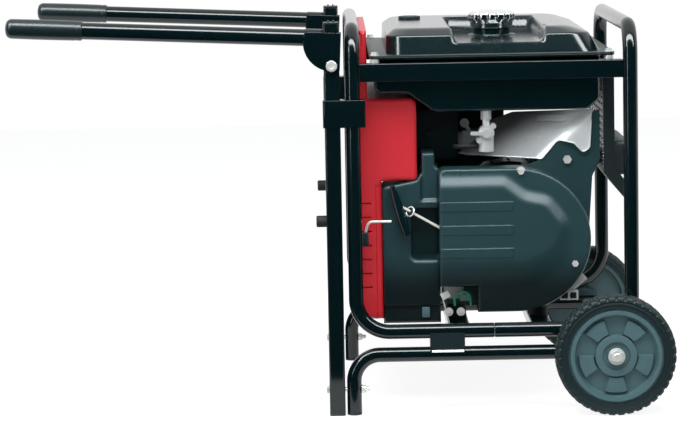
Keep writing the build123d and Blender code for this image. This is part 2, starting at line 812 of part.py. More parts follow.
rope_tilt = math.radians(30)
rope_dir = Vector(-math.cos(rope_tilt), 0, math.sin(rope_tilt))
reel_y = -(shroud_front - shroud_wall - 7)
rope_line = reel_core_d / 2 + rope_d / 2 + 1.5
rope_under = Vector(-math.sin(rope_tilt), 0, -math.cos(rope_tilt))
rope_touch = Vector(crank_x, reel_y, crank_z) + rope_under * rope_line
rope_plane = Plane(origin=rope_touch, x_dir=(0, 1, 0), z_dir=rope_dir)
with BuildPart() as blower_shroud:
    with BuildSketch(Plane.XZ.offset(shroud_back)):
        add(shroud_outline(0).sketch_local)
    extrude(amount=shroud_front - shroud_back)
    with BuildSketch(Plane.XZ.offset(shroud_front)):
        with Locations((crank_x, crank_z)):
            Circle(boss_radius)
        with Locations((shroud_left + 84, crank_z + 16)):
            Rectangle(168, 146)
    extrude(amount=boss_height, taper=12)
    with BuildSketch(Plane.XZ.offset(shroud_back)):
        add(shroud_outline(shroud_wall).sketch_local)
    extrude(amount=shroud_front - shroud_back - shroud_wall, mode=Mode.SUBTRACT)
    with BuildSketch(Plane.XZ.offset(shroud_front + boss_height)):
        with Locations(*[(shroud_left + 73, crank_z + rib) for rib in (46, 1, -43)]):
            RectangleRounded(132, 19, 4)
    extrude(amount=-2.5, mode=Mode.SUBTRACT)
    with BuildSketch(rope_plane.offset(60)):
        Circle(rope_d / 2 + 3)
    extrude(amount=100, mode=Mode.SUBTRACT)
blower_shroud.part.label = "blower_shroud"
export_step(blower_shroud.part, "parts/blower_shroud.step")

with BuildPart() as recoil_reel:
    for start, width, diameter in (
        (0, 2, reel_d),
        (2, reel_width - 4, reel_core_d),
        (reel_width - 2, 2, reel_d),
    ):
        with BuildSketch(Plane.XZ.offset(-reel_y - reel_width / 2 + start)):
            with Locations((crank_x, crank_z)):
                Circle(diameter / 2)
                Circle(14, mode=Mode.SUBTRACT)
        extrude(amount=width)
recoil_reel.part.label = "recoil_reel"
export_step(recoil_reel.part, "parts/recoil_reel.step")

grip_x = front_x + 82.8
rope_out = (rope_touch.X - grip_x) / math.cos(rope_tilt)
rope_exit = (rope_touch.X - shroud_left) / math.cos(rope_tilt)
with BuildPart() as recoil_rope:
    with BuildSketch(rope_plane.offset(rope_exit - rope_hidden)):
        Circle(rope_d / 2)
    extrude(amount=rope_out - 5 - rope_exit + rope_hidden)
recoil_rope.part.label = "recoil_rope"
export_step(recoil_rope.part, "parts/recoil_rope.step")

grip_at = rope_touch + rope_dir * rope_out + Vector(0.276, 0, -0.961) * 12
with BuildPart() as recoil_grip:
    grip_plane = Plane(origin=grip_at, x_dir=(0, 1, 0), z_dir=(-0.276, 0, 0.961))
    with BuildSketch(grip_plane.offset(-starter_grip_length / 2)):
        Ellipse(starter_grip_width / 2 - 2, 7)
    with BuildSketch(grip_plane):
        Ellipse(starter_grip_width / 2, 9)
    with BuildSketch(grip_plane.offset(starter_grip_length / 2)):
        Ellipse(starter_grip_width / 2 - 2, 5)
    loft()
    with BuildSketch(rope_plane.offset(rope_out - 80)):
        Circle(rope_d / 2 + seat)
    extrude(amount=75 + seat, mode=Mode.SUBTRACT)
recoil_grip.part.label = "recoil_grip"
export_step(recoil_grip.part, "parts/recoil_grip.step")

eyelet_at = rope_touch + rope_dir * (rope_out - 30)
fan_back = shroud_back + 4
crank_front = -(shroud_back + fan_width + 8)
engine_front = shroud_back - housing_wall - 2 * seat
engine_back = engine_front - crankcase_depth
stator_front = engine_back - gap
crank_back = stator_depth - stator_front + 22
with BuildPart() as flywheel:
    with BuildSketch(Plane.XZ.offset(fan_back)):
        with Locations((crank_x, crank_z)):
            Circle(fan_d / 2 - 14)
            Circle(crank_d / 2, mode=Mode.SUBTRACT)
    extrude(amount=12)
    with BuildSketch(Plane.XZ.offset(fan_back + 12)):
        with Locations((crank_x, crank_z)):
            with PolarLocations(fan_d / 2 - 26, 16):
                Rectangle(34, 4)
    extrude(amount=fan_width - 12)
flywheel.part.label = "flywheel_fan"
export_step(flywheel.part, "parts/flywheel_fan.step")

with BuildPart() as crankshaft:
    with BuildSketch(Plane.XZ.offset(-crank_back)):
        with Locations((crank_x, crank_z)):
            Circle(crank_d / 2 - running)
    extrude(amount=crank_back - crank_front)
crankshaft.part.label = "crankshaft"
export_step(crankshaft.part, "parts/crankshaft.step")

case_x = crank_x + 2
case_bottom = crank_z - crankcase_height / 2 - 38
tilt_up = math.radians(cylinder_tilt)
bore_dir = Vector(math.cos(tilt_up), 0, math.sin(tilt_up))
bore_plane = Plane(
    origin=(crank_x, -(engine_front + engine_back) / 2, crank_z), x_dir=(0, 1, 0), z_dir=bore_dir
)
with BuildPart() as engine_block:
    with BuildSketch(Plane.XZ.offset(engine_back)):
        with Locations((case_x, case_bottom + crankcase_height / 2)):
            RectangleRounded(crankcase_length, crankcase_height, 30)
    extrude(amount=crankcase_depth)
    plate_x = (crossbar_xs[0] + crossbar_xs[1]) / 2
    with Locations((plate_x, -(engine_front + engine_back) / 2, case_bottom + 5)):
        Box(crossbar_xs[1] - crossbar_xs[0] + crossbar_width, crankcase_depth, 10)
    with BuildSketch(bore_plane.offset(60)):
        RectangleRounded(104, 104, 10)
    extrude(amount=68)
    for fin in range(3):
        with BuildSketch(bore_plane.offset(108 + 7 * fin)):
            RectangleRounded(126, 126, 8)
        extrude(amount=3)
    with BuildSketch(Plane.XZ.offset(-frame_width)):
        with Locations((crank_x, crank_z)):
            Circle(crank_d / 2 + running)
    extrude(amount=2 * frame_width, mode=Mode.SUBTRACT)
engine_block.part.label = "engine_block"
export_step(engine_block.part, "parts/engine_block.step")

port_y = bore_plane.origin.Y + 33
port_z = crank_z + 119
port_end = front_x + guard_setback - 17
with BuildPart() as cylinder_head:
    with BuildSketch(bore_plane.offset(128 + seat)):
        RectangleRounded(118, 118, 10)
    extrude(amount=30)
    with BuildSketch(bore_plane.offset(158)):
        RectangleRounded(90, 96, 14)
    extrude(amount=18)
    with BuildSketch(Plane.YZ.offset(port_end - 32)):
        with Locations((port_y, port_z)):
            Circle(exhaust_d / 2 + 5)
    extrude(amount=32)
cylinder_head.part.label = "cylinder_head"
export_step(cylinder_head.part, "parts/cylinder_head.step")

plug_plane = Plane(
    origin=bore_plane.origin + bore_dir * 146 + Vector(0, -59 - seat, 0), x_dir=(1, 0, 0), z_dir=(0, -1, 0)
)
with BuildPart() as spark_plug:
    with BuildSketch(plug_plane):
        RegularPolygon(10, 6)
    extrude(amount=8)
    with BuildSketch(plug_plane.offset(8)):
        Circle(6)
    extrude(amount=5)
spark_plug.part.label = "spark_plug"
export_step(spark_plug.part, "parts/spark_plug.step")

# ---- Alternator ----

foot_y = -stator_front + stator_depth - 50
foot_depth = 40.0
with BuildPart() as stator:
    with BuildSketch(Plane.XZ.offset(stator_front - stator_depth)):
        with Locations((crank_x, crank_z)):
            Circle(stator_d / 2)
    extrude(amount=stator_depth)
    with BuildSketch(Plane.XZ.offset(-foot_y - foot_depth / 2)):
        with BuildLine():
            Polyline(
                (crossbar_xs[0] - 20, case_bottom),
                (crossbar_xs[1] + 20, case_bottom),
                (crossbar_xs[1] + 20, case_bottom + 8),
                (crank_x + 60, crank_z - stator_d / 2 + 30),
                (crank_x - 60, crank_z - stator_d / 2 + 30),
                (crossbar_xs[0] - 20, case_bottom + 8),
                close=True,
            )
        make_face()
    extrude(amount=foot_depth)
    with BuildSketch(Plane.XZ.offset(stator_front - stator_depth)):
        with Locations((crank_x, crank_z)):
            Circle(rotor_d / 2 + stand_off)
    extrude(amount=stator_depth, mode=Mode.SUBTRACT)
    with BuildSketch(Plane.XZ.offset(stator_front - stator_depth)):
        with Locations((crank_x, crank_z)):
            with PolarLocations(stator_d / 2 - 4, 20):
                Rectangle(14, 5)
    extrude(amount=stator_depth - 20)
stator.part.label = "alternator_stator"
export_step(stator.part, "parts/alternator_stator.step")

rotor_front = stator_front - 12
rotor_depth = stator_depth - 30
with BuildPart() as rotor:
    with BuildSketch(Plane.XZ.offset(rotor_front - rotor_depth)):
        with Locations((crank_x, crank_z)):
            Circle(rotor_d / 2)
            Circle(crank_d / 2, mode=Mode.SUBTRACT)
            with PolarLocations(rotor_d / 2, 4):
                Rectangle(24, 16, mode=Mode.SUBTRACT)
    extrude(amount=rotor_depth)
rotor.part.label = "alternator_rotor"
export_step(rotor.part, "parts/alternator_rotor.step")

cover_depth = 46.0
cover_start = stator_front - stator_depth - seat
with BuildPart() as end_cover:
    with BuildSketch(Plane.XZ.offset(cover_start - cover_depth)):
        with Locations((crank_x, crank_z)):
            Circle(stator_d / 2 + 3)
    extrude(amount=cover_depth)
    fillet(end_cover.edges().filter_by(GeomType.CIRCLE).sort_by(Axis.Y)[-1], 16)
    with BuildSketch(Plane.XZ.offset(cover_start - cover_depth + 4)):
        with Locations((crank_x, crank_z)):
            Circle(stator_d / 2 - 14)
            Circle(crank_d, mode=Mode.SUBTRACT)
    extrude(amount=cover_depth, mode=Mode.SUBTRACT)
    with BuildSketch(Plane.XZ.offset(cover_start - cover_depth + 4)):
        with Locations((crank_x, crank_z)):
            Circle(crank_d / 2 + running)
    extrude(amount=cover_depth, mode=Mode.SUBTRACT)
    with BuildSketch(Plane.XZ.offset(cover_start - 2 * cover_depth)):
        with Locations((crank_x, crank_z)):
            with PolarLocations(64, 18):
                SlotOverall(36, 7)
    extrude(amount=1.5 * cover_depth, mode=Mode.SUBTRACT)
end_cover.part.label = "alternator_end_cover"
export_step(end_cover.part, "parts/alternator_end_cover.step")

# ---- Mounts under the engine and the alternator ----

mount_top = case_bottom - seat
mount_d = 36.0
with BuildPart() as rubber_mounts:
    for bar_x in crossbar_xs:
        for mount_y in (-engine_front + 30, -engine_back - 30, foot_y):
            with Locations((bar_x, mount_y, (crossbar_top + mount_top) / 2)):
                Cylinder(mount_d / 2, mount_top - crossbar_top)
rubber_mounts.part.label = "rubber_mounts"
export_step(rubber_mounts.part, "parts/rubber_mounts.step")

# ---- Covers round the engine ----

with BuildPart() as blower_housing:
    with BuildSketch(Plane.XZ.offset(shroud_back - seat - housing_wall)):
        add(shroud_outline(0).sketch_local)
        with BuildLine():
            Polyline(
                (shroud_x + 60, crank_z + 90),
                (front_x + 362, crank_z + 127),
                (front_x + 394, crank_z + 164),
                (front_x + 440, crank_z + 210),
                (front_x + 473, crank_z + 222),
                (front_x + 473, crank_z + 125),
                (front_x + 458, crank_z + 93),
                (front_x + 456, crank_z + 61),
                (front_x + 444, crank_z - 20),
                close=True,
            )
        make_face()
        with Locations((crank_x, crank_z)):
            Circle(crank_d / 2 + running, mode=Mode.SUBTRACT)
    extrude(amount=housing_wall)
blower_housing.part.label = "blower_housing"
export_step(blower_housing.part, "parts/blower_housing.step")

shield_y = 238.0
shield_wall = 1.5
with BuildPart() as heat_shield:
    with BuildSketch(Plane.XZ.offset(shield_y)):
        with BuildLine():
            FilletPolyline(
                (front_x + 201, crank_z + 141),
                (front_x + 361, crank_z + 128),
                (front_x + 393, crank_z + 165),
                (front_x + 423, crank_z + 158),
                (front_x + 440, crank_z + 140),
                (front_x + 452, crank_z + 148),
                (front_x + 455, crank_z + 202),
                (front_x + 459, crank_z + 222),
                (front_x + 306, crank_z + 219),
                (front_x + 257, crank_z + 201),
                (front_x + 235, crank_z + 168),
                close=True,
                radius=2,
            )
        make_face()
    extrude(amount=shield_wall)
heat_shield.part.label = "heat_shield"
export_step(heat_shield.part, "parts/heat_shield.step")

cover_left = front_x + tube_r + 42
cover_right = shroud_left - gap
cover_low = rail_height + 10
recess_left = front_x + 108
recess_low = crank_z - 58
recess_high = crank_z + 40


def duct_outline(shrink):
    """The lower cover's side view, with its sloping shoulder and its neck."""
    with BuildSketch(Plane.XZ) as outline:
        with BuildLine():
            FilletPolyline(
                (cover_right, cover_low),
                (cover_left, cover_low),
                (cover_left, crank_z + 82),
                (front_x + 118, crank_z + 94),
                (front_x + 130, crank_z + 108),
                (front_x + 130, crank_z + 146),
                (cover_right - 8, crank_z + 146),
                (cover_right - 8, crank_z + 122),
                (cover_right, crank_z + 114),
                radius=[8, 10, 10, 8, 4, 4, 4],
            )
            Line((cover_right, crank_z + 114), (cover_right, cover_low))
        make_face()
        if shrink:
            offset(amount=-shrink, mode=Mode.REPLACE)
    return outline


cover_back = 150.0
with BuildPart() as lower_cover:
    with BuildSketch(Plane.XZ.offset(cover_back)):
        add(duct_outline(0).sketch_local)
    extrude(amount=cover_front - cover_back)
    with BuildSketch(Plane.XZ.offset(cover_back)):
        add(duct_outline(cover_wall).sketch_local)
    extrude(amount=cover_front - cover_back - cover_wall, mode=Mode.SUBTRACT)
    pocket_at = ((recess_left + cover_right - cover_wall) / 2, (recess_low + recess_high) / 2)
    pocket_length = cover_right - recess_left + cover_wall
    pocket_height = recess_high - recess_low + 2 * cover_wall
    with BuildSketch(Plane.XZ.offset(recess_floor - cover_wall)):
        with Locations(pocket_at):
            Rectangle(pocket_length, pocket_height)
    extrude(amount=cover_front - recess_floor + cover_wall)
    with BuildSketch(Plane.XZ.offset(recess_floor)):
        with Locations(((recess_left + cover_right) / 2 + 6, (recess_low + recess_high) / 2)):
            RectangleRounded(cover_right - recess_left + 12, recess_high - recess_low, 10)
    extrude(amount=cover_front, mode=Mode.SUBTRACT)
lower_cover.part.label = "lower_cover"
export_step(lower_cover.part, "parts/lower_cover.step")

bolt_spots = ((crank_x + 8, crank_z + 110.5), (front_x + 210, crank_z - 70), (front_x + 419, crank_z - 68))
with BuildPart() as cover_bolts:
    for bolt_x in shelf_bolt_xs:
        for _, side in sides:
            at = (bolt_x, side * tank_bolt_y)
            with BuildSketch(Plane.XY.offset(rail_bar_top - rail_bar_thickness - 8)):
                with Locations(at):
                    RegularPolygon(6.5, 6)
            extrude(amount=8 - seat)
            with BuildSketch(Plane.XY.offset(rail_bar_top - rail_bar_thickness - 8)):
                with Locations(at):
                    Circle(3)
            extrude(amount=crown_base + 3 - (rail_bar_top - rail_bar_thickness - 8))
            with BuildSketch(Plane.XY.offset(crown_base + seat)):
                with Locations(at):
                    Circle(8.5)
            extrude(amount=1.6)
            with BuildSketch(Plane.XY.offset(crown_base + seat + 1.6)):
                with Locations(at):
                    RegularPolygon(6.5, 6)
            extrude(amount=5)
            with BuildSketch(Plane.XY.offset(rail_bar_top + seat)):
                with Locations(at):
                    Circle(9)
            extrude(amount=tank_flange_height - rail_bar_top - 2 * seat)
    for spot in bolt_spots:
        with BuildSketch(Plane.XZ.offset(shroud_front + seat)):
            with Locations(spot):
                Circle(9)
        extrude(amount=1.5)
        with BuildSketch(Plane.XZ.offset(shroud_front + seat + 1.5)):
            with Locations(spot):
                RegularPolygon(6.5, 6)
        extrude(amount=5)
    with BuildSketch(Plane.XZ.offset(shroud_back + seat)):
        with Locations((front_x + 410, crank_z + 126)):
            RegularPolygon(8.5, 6)
    extrude(amount=6)
cover_bolts.part.label = "cover_bolts"
export_step(cover_bolts.part, "parts/cover_bolts.step")

# ---- Intake, exhaust, dipstick ----

filter_x = front_x + 165
filter_low = crank_z + 123
filter_high = pan_base - 8
filter_front = 145.0
filter_left = filter_x - filter_length / 2
airbox_front = filter_front - 100.0
with BuildPart() as air_cleaner:
    with BuildSketch(Plane.XZ.offset(filter_front - filter_width)):
        with Locations((filter_x, (filter_low + filter_high) / 2)):
            RectangleRounded(filter_length, filter_high - filter_low, 12)
    extrude(amount=filter_width)
    with BuildSketch(Plane.XZ.offset(filter_front)):
        with Locations((filter_x - 14, (filter_low + filter_high) / 2)):
            RegularPolygon(11, 8)
    extrude(amount=9)
    with BuildSketch(Plane.XZ.offset(airbox_front - airbox_depth)):
        with BuildLine():
            Polyline(
                (filter_left, filter_low - 42),
                (filter_left, filter_high + 22),
                (filter_left + 3, filter_high + 22),
                (filter_left + 28, filter_high + 4),
                (filter_left + airbox_length, filter_high + 4),
                (filter_left + airbox_length, filter_low - 10),
                (filter_left + 135, filter_low - 18),
                (filter_left + 102, filter_low - 42),
                close=True,
            )
        make_face()
    extrude(amount=airbox_depth)
air_cleaner.part.label = "air_cleaner"
export_step(air_cleaner.part, "parts/air_cleaner.step")

carb_x = filter_x + filter_length / 2 + gap + 32
carb_y = 60 - filter_front
carb_z = filter_low + 30
hose_d = 8.0
with BuildPart() as carburettor:
    with Locations((carb_x, carb_y, carb_z)):
        Box(44, 46, 40)
        Cylinder(17, 64, rotation=(0, 90, 0))
    with Locations((carb_x, carb_y, carb_z - 14)):
        Cylinder(18, 30)
carburettor.part.label = "carburettor"
export_step(carburettor.part, "parts/carburettor.step")

choke_y = carb_y - 23 - gap
with BuildPart() as choke_lever:
    with BuildSketch(Plane.XZ.offset(-choke_y)):
        with Locations((carb_x, carb_z + 8)):
            Circle(7)
        with Locations((carb_x - 9, carb_z + 22)):
            RectangleRounded(7, 40, 3, rotation=33)
        with Locations((carb_x - 18, carb_z + 36)):
            Circle(9)
    extrude(amount=4)
choke_lever.part.label = "choke_lever"
export_step(choke_lever.part, "parts/choke_lever.step")

muffler_x = rear_x - 1.5
muffler_z = port_z
muffler_front = 150.0
with BuildPart() as muffler:
    with BuildSketch(Plane.XZ.offset(muffler_front - muffler_length)):
        with Locations((muffler_x, muffler_z)):
            RectangleRounded(muffler_depth, muffler_height, 26)
    extrude(amount=muffler_length)
    fillet(muffler.edges().group_by(Axis.Y)[0], 10)
    fillet(muffler.edges().group_by(Axis.Y)[-1], 10)
    with BuildSketch(Plane.YZ.offset(port_end + seat)):
        with Locations((port_y, port_z)):
            Circle(exhaust_d / 2 + 5)
    extrude(amount=6)
    with BuildSketch(Plane.YZ.offset(port_end + seat)):
        with Locations((port_y, port_z)):
            Circle(exhaust_d / 2)
    extrude(amount=muffler_x - port_end)
    with BuildSketch(Plane.XZ.offset(muffler_front - muffler_length - 16)):
        with Locations((muffler_x, muffler_z)):
            Circle(exhaust_d / 2)
            Circle(exhaust_d / 2 - 2, mode=Mode.SUBTRACT)
    extrude(amount=30)
muffler.part.label = "muffler"
export_step(muffler.part, "parts/muffler.step")

guard_x = front_x + guard_setback
guard_front = 230.0
guard_low = crank_z + 98
guard_high = pan_base + 68
guard_drop = 50.0
flare_end = guard_x + guard_flare
flange_low = guard_low + 12
with BuildPart() as muffler_guard:
    with BuildSketch(Plane.XZ.offset(guard_front - guard_length)):
        with BuildLine():
            Polyline(
                (guard_x, guard_high),
                (guard_x, guard_low),
                (flare_end, guard_low - guard_drop),
                (flare_end + guard_wall, guard_low - guard_drop + guard_wall),
                (guard_x + guard_wall, guard_low + 1),
                (guard_x + guard_wall, guard_high),
                close=True,
            )
        make_face()
    extrude(amount=guard_length)
    with BuildSketch(Plane.XZ.offset(guard_front - guard_wall)):
        with BuildLine():
            Polyline(
                (guard_x, guard_high),
                (guard_x, guard_low),
                (flare_end, guard_low - guard_drop),
                (flare_end + guard_flange * 0.78, guard_low - guard_drop + guard_flange * 0.62),
                (guard_x + guard_flange, flange_low),
                (guard_x + guard_flange, guard_high),
                close=True,
            )
        make_face()
    extrude(amount=guard_wall)
    with BuildSketch(Plane.YZ.offset(guard_x - 10)):
        with Locations((guard_length / 2 - guard_front, (guard_low + guard_high) / 2)):
            with GridLocations(40, 13, 8, 12):
                SlotOverall(30, 6)
    extrude(amount=20, mode=Mode.SUBTRACT)
    with BuildSketch(Plane.YZ.offset(guard_x - 10)):
        with Locations((port_y, port_z)):
            Circle(exhaust_d / 2 + 3)
    extrude(amount=20, mode=Mode.SUBTRACT)
muffler_guard.part.label = "muffler_guard"
export_step(muffler_guard.part, "parts/muffler_guard.step")

dip_x = case_x - crankcase_length / 2 - gap
with BuildPart() as dipstick:
    with BuildSketch(Plane.YZ.offset(dip_x)):
        with Locations((-150, crank_z - 90)):
            Circle(13)
            with PolarLocations(14, 8):
                Circle(3, mode=Mode.SUBTRACT)
    extrude(amount=-14)
dipstick.part.label = "oil_dipstick"
export_step(dipstick.part, "parts/oil_dipstick.step")

# ---- Control panel ----

panel_x = front_x - 7.7
panel_half = -reel_y - starter_grip_width / 2 - 3
panel_low = rail_height + tube_r + 2
housing_end = panel_x + panel_depth
strip_end = panel_x + panel_strip
notch_x = front_x + tube_r + stand_off
notch_z = hoop_z - tube_r - 16
box_end = housing_end + box_depth


def housing_outline(shrink):
    """The panel housing's side view: a shallow pan with a deeper box behind it."""
    with BuildSketch(Plane.XZ) as outline:
        with BuildLine():
            FilletPolyline(
                (panel_x - shrink, notch_z - shrink),
                (panel_x - shrink, panel_low + shrink),
                (housing_end - shrink, panel_low + shrink),
                (housing_end - shrink, box_bottom + shrink),
                (box_end - shrink, box_bottom + shrink),
                (box_end - shrink, box_top - shrink),
                (strip_end + 8, box_top - shrink),
                (strip_end - shrink, box_top + 8 - shrink),
                (strip_end - shrink, panel_top - shrink),
                radius=[48, 4, 6, 8, 14, 4, 4],
            )
            Polyline(
                (strip_end - shrink, panel_top - shrink),
                (notch_x + shrink, panel_top - shrink),
                (notch_x + shrink, notch_z - shrink),
                (panel_x - shrink, notch_z - shrink),
            )
        make_face()
    return outline


face_wall = 3.0
with BuildPart() as panel_housing:
    with BuildSketch(Plane.XZ.offset(-panel_half)):
        add(housing_outline(0).sketch_local)
    extrude(amount=2 * panel_half)
    with BuildSketch(Plane.XZ.offset(-panel_half + panel_wall)):
        add(housing_outline(panel_wall).sketch_local)
    extrude(amount=2 * (panel_half - panel_wall), mode=Mode.SUBTRACT)
    for slot in range(7):
        with Locations((panel_x + 26, 0, panel_low + 62 + 27 * slot)):
            Box(26, 2 * panel_half + 20, 3, mode=Mode.SUBTRACT)
panel_housing.part.label = "panel_housing"
export_step(panel_housing.part, "parts/panel_housing.step")

face_low = panel_low + 62
face_high = notch_z - panel_wall - gap
face_z = (face_low + face_high) / 2
face_half = panel_half - panel_wall - gap
switch_y = panel_half - 47
switch_z = face_high - 108.7
breaker_y = switch_y - 65
socket_ys = (-190, -70, 50, 170)
socket_z = 430.0
with BuildPart() as panel_face:
    with BuildSketch(Plane.YZ.offset(panel_x)):
        with Locations((0, face_z)):
            RectangleRounded(2 * face_half, face_high - face_low, 8)
        for hole_y in (switch_y, breaker_y):
            with Locations((hole_y, switch_z)):
                Rectangle(20, 28, mode=Mode.SUBTRACT)
        for hole_y in socket_ys:
            with Locations((hole_y, socket_z)):
                Circle(21 + seat, mode=Mode.SUBTRACT)
    extrude(amount=face_wall)
panel_face.part.label = "panel_face"
export_step(panel_face.part, "parts/panel_face.step")

with BuildPart() as sockets:
    for socket_y in socket_ys:
        with BuildSketch(Plane.YZ.offset(panel_x - seat)):
            with Locations((socket_y, socket_z)):
                Circle(28)
        extrude(amount=-5)
        with BuildSketch(Plane.YZ.offset(panel_x - seat)):
            with Locations((socket_y, socket_z)):
                Circle(21)
        extrude(amount=32)
        with BuildSketch(Plane.YZ.offset(panel_x - 6)):
            with Locations((socket_y - 6, socket_z + 3), (socket_y + 6, socket_z + 3)):
                Rectangle(2.2, 9)
            with Locations((socket_y, socket_z - 9)):
                Circle(2.6)
        extrude(amount=20, mode=Mode.SUBTRACT)
sockets.part.label = "panel_sockets"
export_step(sockets.part, "parts/panel_sockets.step")

rocker_x = panel_x + face_wall
rocker_pin_d = 5.0
for name, rocker_y in (("engine_switch", switch_y), ("main_breaker", breaker_y)):
    with BuildPart() as rocker:
        with BuildSketch(Plane.XZ.offset(-rocker_y - 8)):
            with BuildLine():
                Polyline(
                    (rocker_x - 9, switch_z + 11),
                    (rocker_x - 5, switch_z),
                    (rocker_x - 6, switch_z - 11),
                    (rocker_x + 3, switch_z - 11),
                    (rocker_x + 3, switch_z + 11),
                    close=True,
                )
            make_face()
        extrude(amount=16)
        with Locations((rocker_x, rocker_y, switch_z)):
            Cylinder(rocker_pin_d / 2, 18, rotation=(90, 0, 0))
    rocker.part.label = name
    export_step(rocker.part, f"parts/{name}.step")

# ---- Rope guide, hose and wire ----

wire_d = 5.0
hook_y = -side_y + 20
hook = solid_rod(
    [
        (front_x + tube_r + 6, hook_y, crank_z - 4),
        (front_x + tube_r + 12, hook_y, crank_z + 20),
        (front_x + 70, hook_y, crank_z + 20),
    ],
    10,
    wire_d,
)
with BuildPart() as rope_guide:
    with BuildSketch(Plane(origin=eyelet_at - rope_dir * 3, x_dir=(0, 1, 0), z_dir=rope_dir)):
        Circle(9)
        Circle(rope_d / 2 + stand_off, mode=Mode.SUBTRACT)
    extrude(amount=6)
    add(hook.part)
    with Locations((front_x + tube_r + 6 + seat, hook_y - 4, crank_z - 13)):
        Box(12, 16, 26)
rope_guide.part.label = "rope_guide"
export_step(rope_guide.part, "parts/rope_guide.step")

hose = solid_rod(
    [
        (outlet_x - bowl_d / 2 - seat, outlet_y, valve_bottom + 10),
        (front_x + 195, outlet_y, valve_bottom + 10),
        (front_x + 195, outlet_y + 58, carb_z),
        (carb_x, carb_y - 58, carb_z - 14),
        (carb_x, carb_y - 23 - seat, carb_z - 14),
    ],
    [14, 22, 16],
    hose_d,
)
hose.part.label = "fuel_hose"
export_step(hose.part, "parts/fuel_hose.step")

ground = solid_rod(
    [
        (front_x + 190, -262, crossbar_top + 30),
        (front_x + 186, -262, crossbar_top + 48),
        (front_x + 206, -261, crossbar_top + 60),
        (front_x + 222, -260, crossbar_top + 48),
        (front_x + 220, -259, crossbar_top + 30),
    ],
    [9, 9, 9],
    4.5,
)
ground.part.label = "ground_wire"
export_step(ground.part, "parts/ground_wire.step")
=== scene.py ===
"""Portable generator: the finished pieces built round its packed frame.

The frame gives the place of every body and node. Each operator makes one piece or a
group of like pieces, in metres, with +Z up and +X from the handles to the wheels.
"""

import json
import math

import bmesh
import bpy
import numpy as np
from mathutils import Euler, Matrix, Vector


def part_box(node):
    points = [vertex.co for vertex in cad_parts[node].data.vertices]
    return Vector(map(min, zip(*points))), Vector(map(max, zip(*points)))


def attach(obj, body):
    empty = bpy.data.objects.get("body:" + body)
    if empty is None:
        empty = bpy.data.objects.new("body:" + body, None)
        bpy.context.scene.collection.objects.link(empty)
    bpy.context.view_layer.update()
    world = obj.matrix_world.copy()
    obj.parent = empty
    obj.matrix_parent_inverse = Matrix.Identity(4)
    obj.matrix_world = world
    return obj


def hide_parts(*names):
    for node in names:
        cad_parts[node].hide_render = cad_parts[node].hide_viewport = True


bl_info = {
    "name": "Portable generator pieces", "version": (1, 0, 0), "blender": (4, 5, 0),
    "location": "View3D > Sidebar > Generator",
    "description": "Builds the tubes, tank, covers, wheels and fittings of a portable generator",
    "category": "Object",
}

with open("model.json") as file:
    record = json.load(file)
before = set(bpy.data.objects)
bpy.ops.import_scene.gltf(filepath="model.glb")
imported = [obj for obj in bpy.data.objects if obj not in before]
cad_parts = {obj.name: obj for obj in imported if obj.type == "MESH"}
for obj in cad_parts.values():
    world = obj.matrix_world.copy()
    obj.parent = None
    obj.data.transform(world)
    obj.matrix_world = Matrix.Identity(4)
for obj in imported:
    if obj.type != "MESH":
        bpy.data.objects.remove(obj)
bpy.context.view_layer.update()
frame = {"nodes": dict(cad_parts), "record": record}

UPRIGHT = ((1, 0, 0), (0, 1, 0), (0, 0, 1))
FACING_SIDE = ((1, 0, 0), (0, 0, 1), (0, -1, 0))
TUBE_RADIUS = 0.014
SHROUD_CORNER = 0.012
PULL_ANGLE, REEL_RADIUS, REEL_Y, ROPE_REACH = math.radians(30), 0.07, -0.278, 0.2211


def corner(node, which):
    """The low (0) or high (1) corner of a CAD node, as an array in metres."""
    return np.array(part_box(node)[which], float)


def box_of(node):
    """The low and the high corner of a CAD node's box."""
    return corner(node, 0), corner(node, 1)


def hoop_line():
    """X of the front hoop's upright centreline, from which the covers' outlines are measured."""
    return corner("front_hoop", 0)[0] + TUBE_RADIUS


def centre_of(first, second):
    """Halfway between two numbers or two arrays."""
    return (first + second) / 2


def middle(node):
    """The middle of a CAD node's box."""
    return centre_of(*box_of(node))


# ---- Surfaces: a shell is (points, [faces with equal corner counts, ...]) ----


def grid(points, wrap_u=False, wrap_v=False):
    """Quads between the neighbours of a grid of points, closed where it wraps."""
    count_u, count_v = points.shape[:2]
    u = np.arange(count_u if wrap_u else count_u - 1)
    v = np.arange(count_v if wrap_v else count_v - 1)
    a, b = np.meshgrid(u, v, indexing="ij")
    a2, b2 = (a + 1) % count_u, (b + 1) % count_v
    quads = np.stack([a * count_v + b, a2 * count_v + b, a2 * count_v + b2, a * count_v + b2], -1)
    return points.reshape(-1, 3), [quads.reshape(-1, 4)]


def join(*shells):
    """Several shells as one."""
    points, faces, start = [], [], 0
    for shell_points, shell_faces in shells:
        points.append(shell_points)
        faces += [f + start for f in shell_faces]
        start += len(shell_points)
    return np.concatenate(points), faces


def place(shell, origin, x_axis=UPRIGHT[0], y_axis=UPRIGHT[1], z_axis=UPRIGHT[2]):
    """A shell moved to an origin and turned to the given axes: origin + x X + y Y + z Z."""
    points, faces = shell
    axes = np.array([x_axis, y_axis, z_axis], float)
    return points @ axes + np.array(origin, float), faces


def rings(loops):
    """A closed skin through equal loops of points, with a flat face on each end."""
    loops = np.asarray(loops, float)
    points, faces = grid(loops, wrap_v=True)
    count = loops.shape[1]
    last = (len(loops) - 1) * count
    ends = np.stack([np.arange(count)[::-1], last + np.arange(count)])
    return points, faces + [ends]


def circle(radius, count):
    """Points on a circle: radius times (cos, sin)."""
    a = np.linspace(0, 2 * np.pi, count, endpoint=False)
    return radius * np.stack([np.cos(a), np.sin(a)], -1)


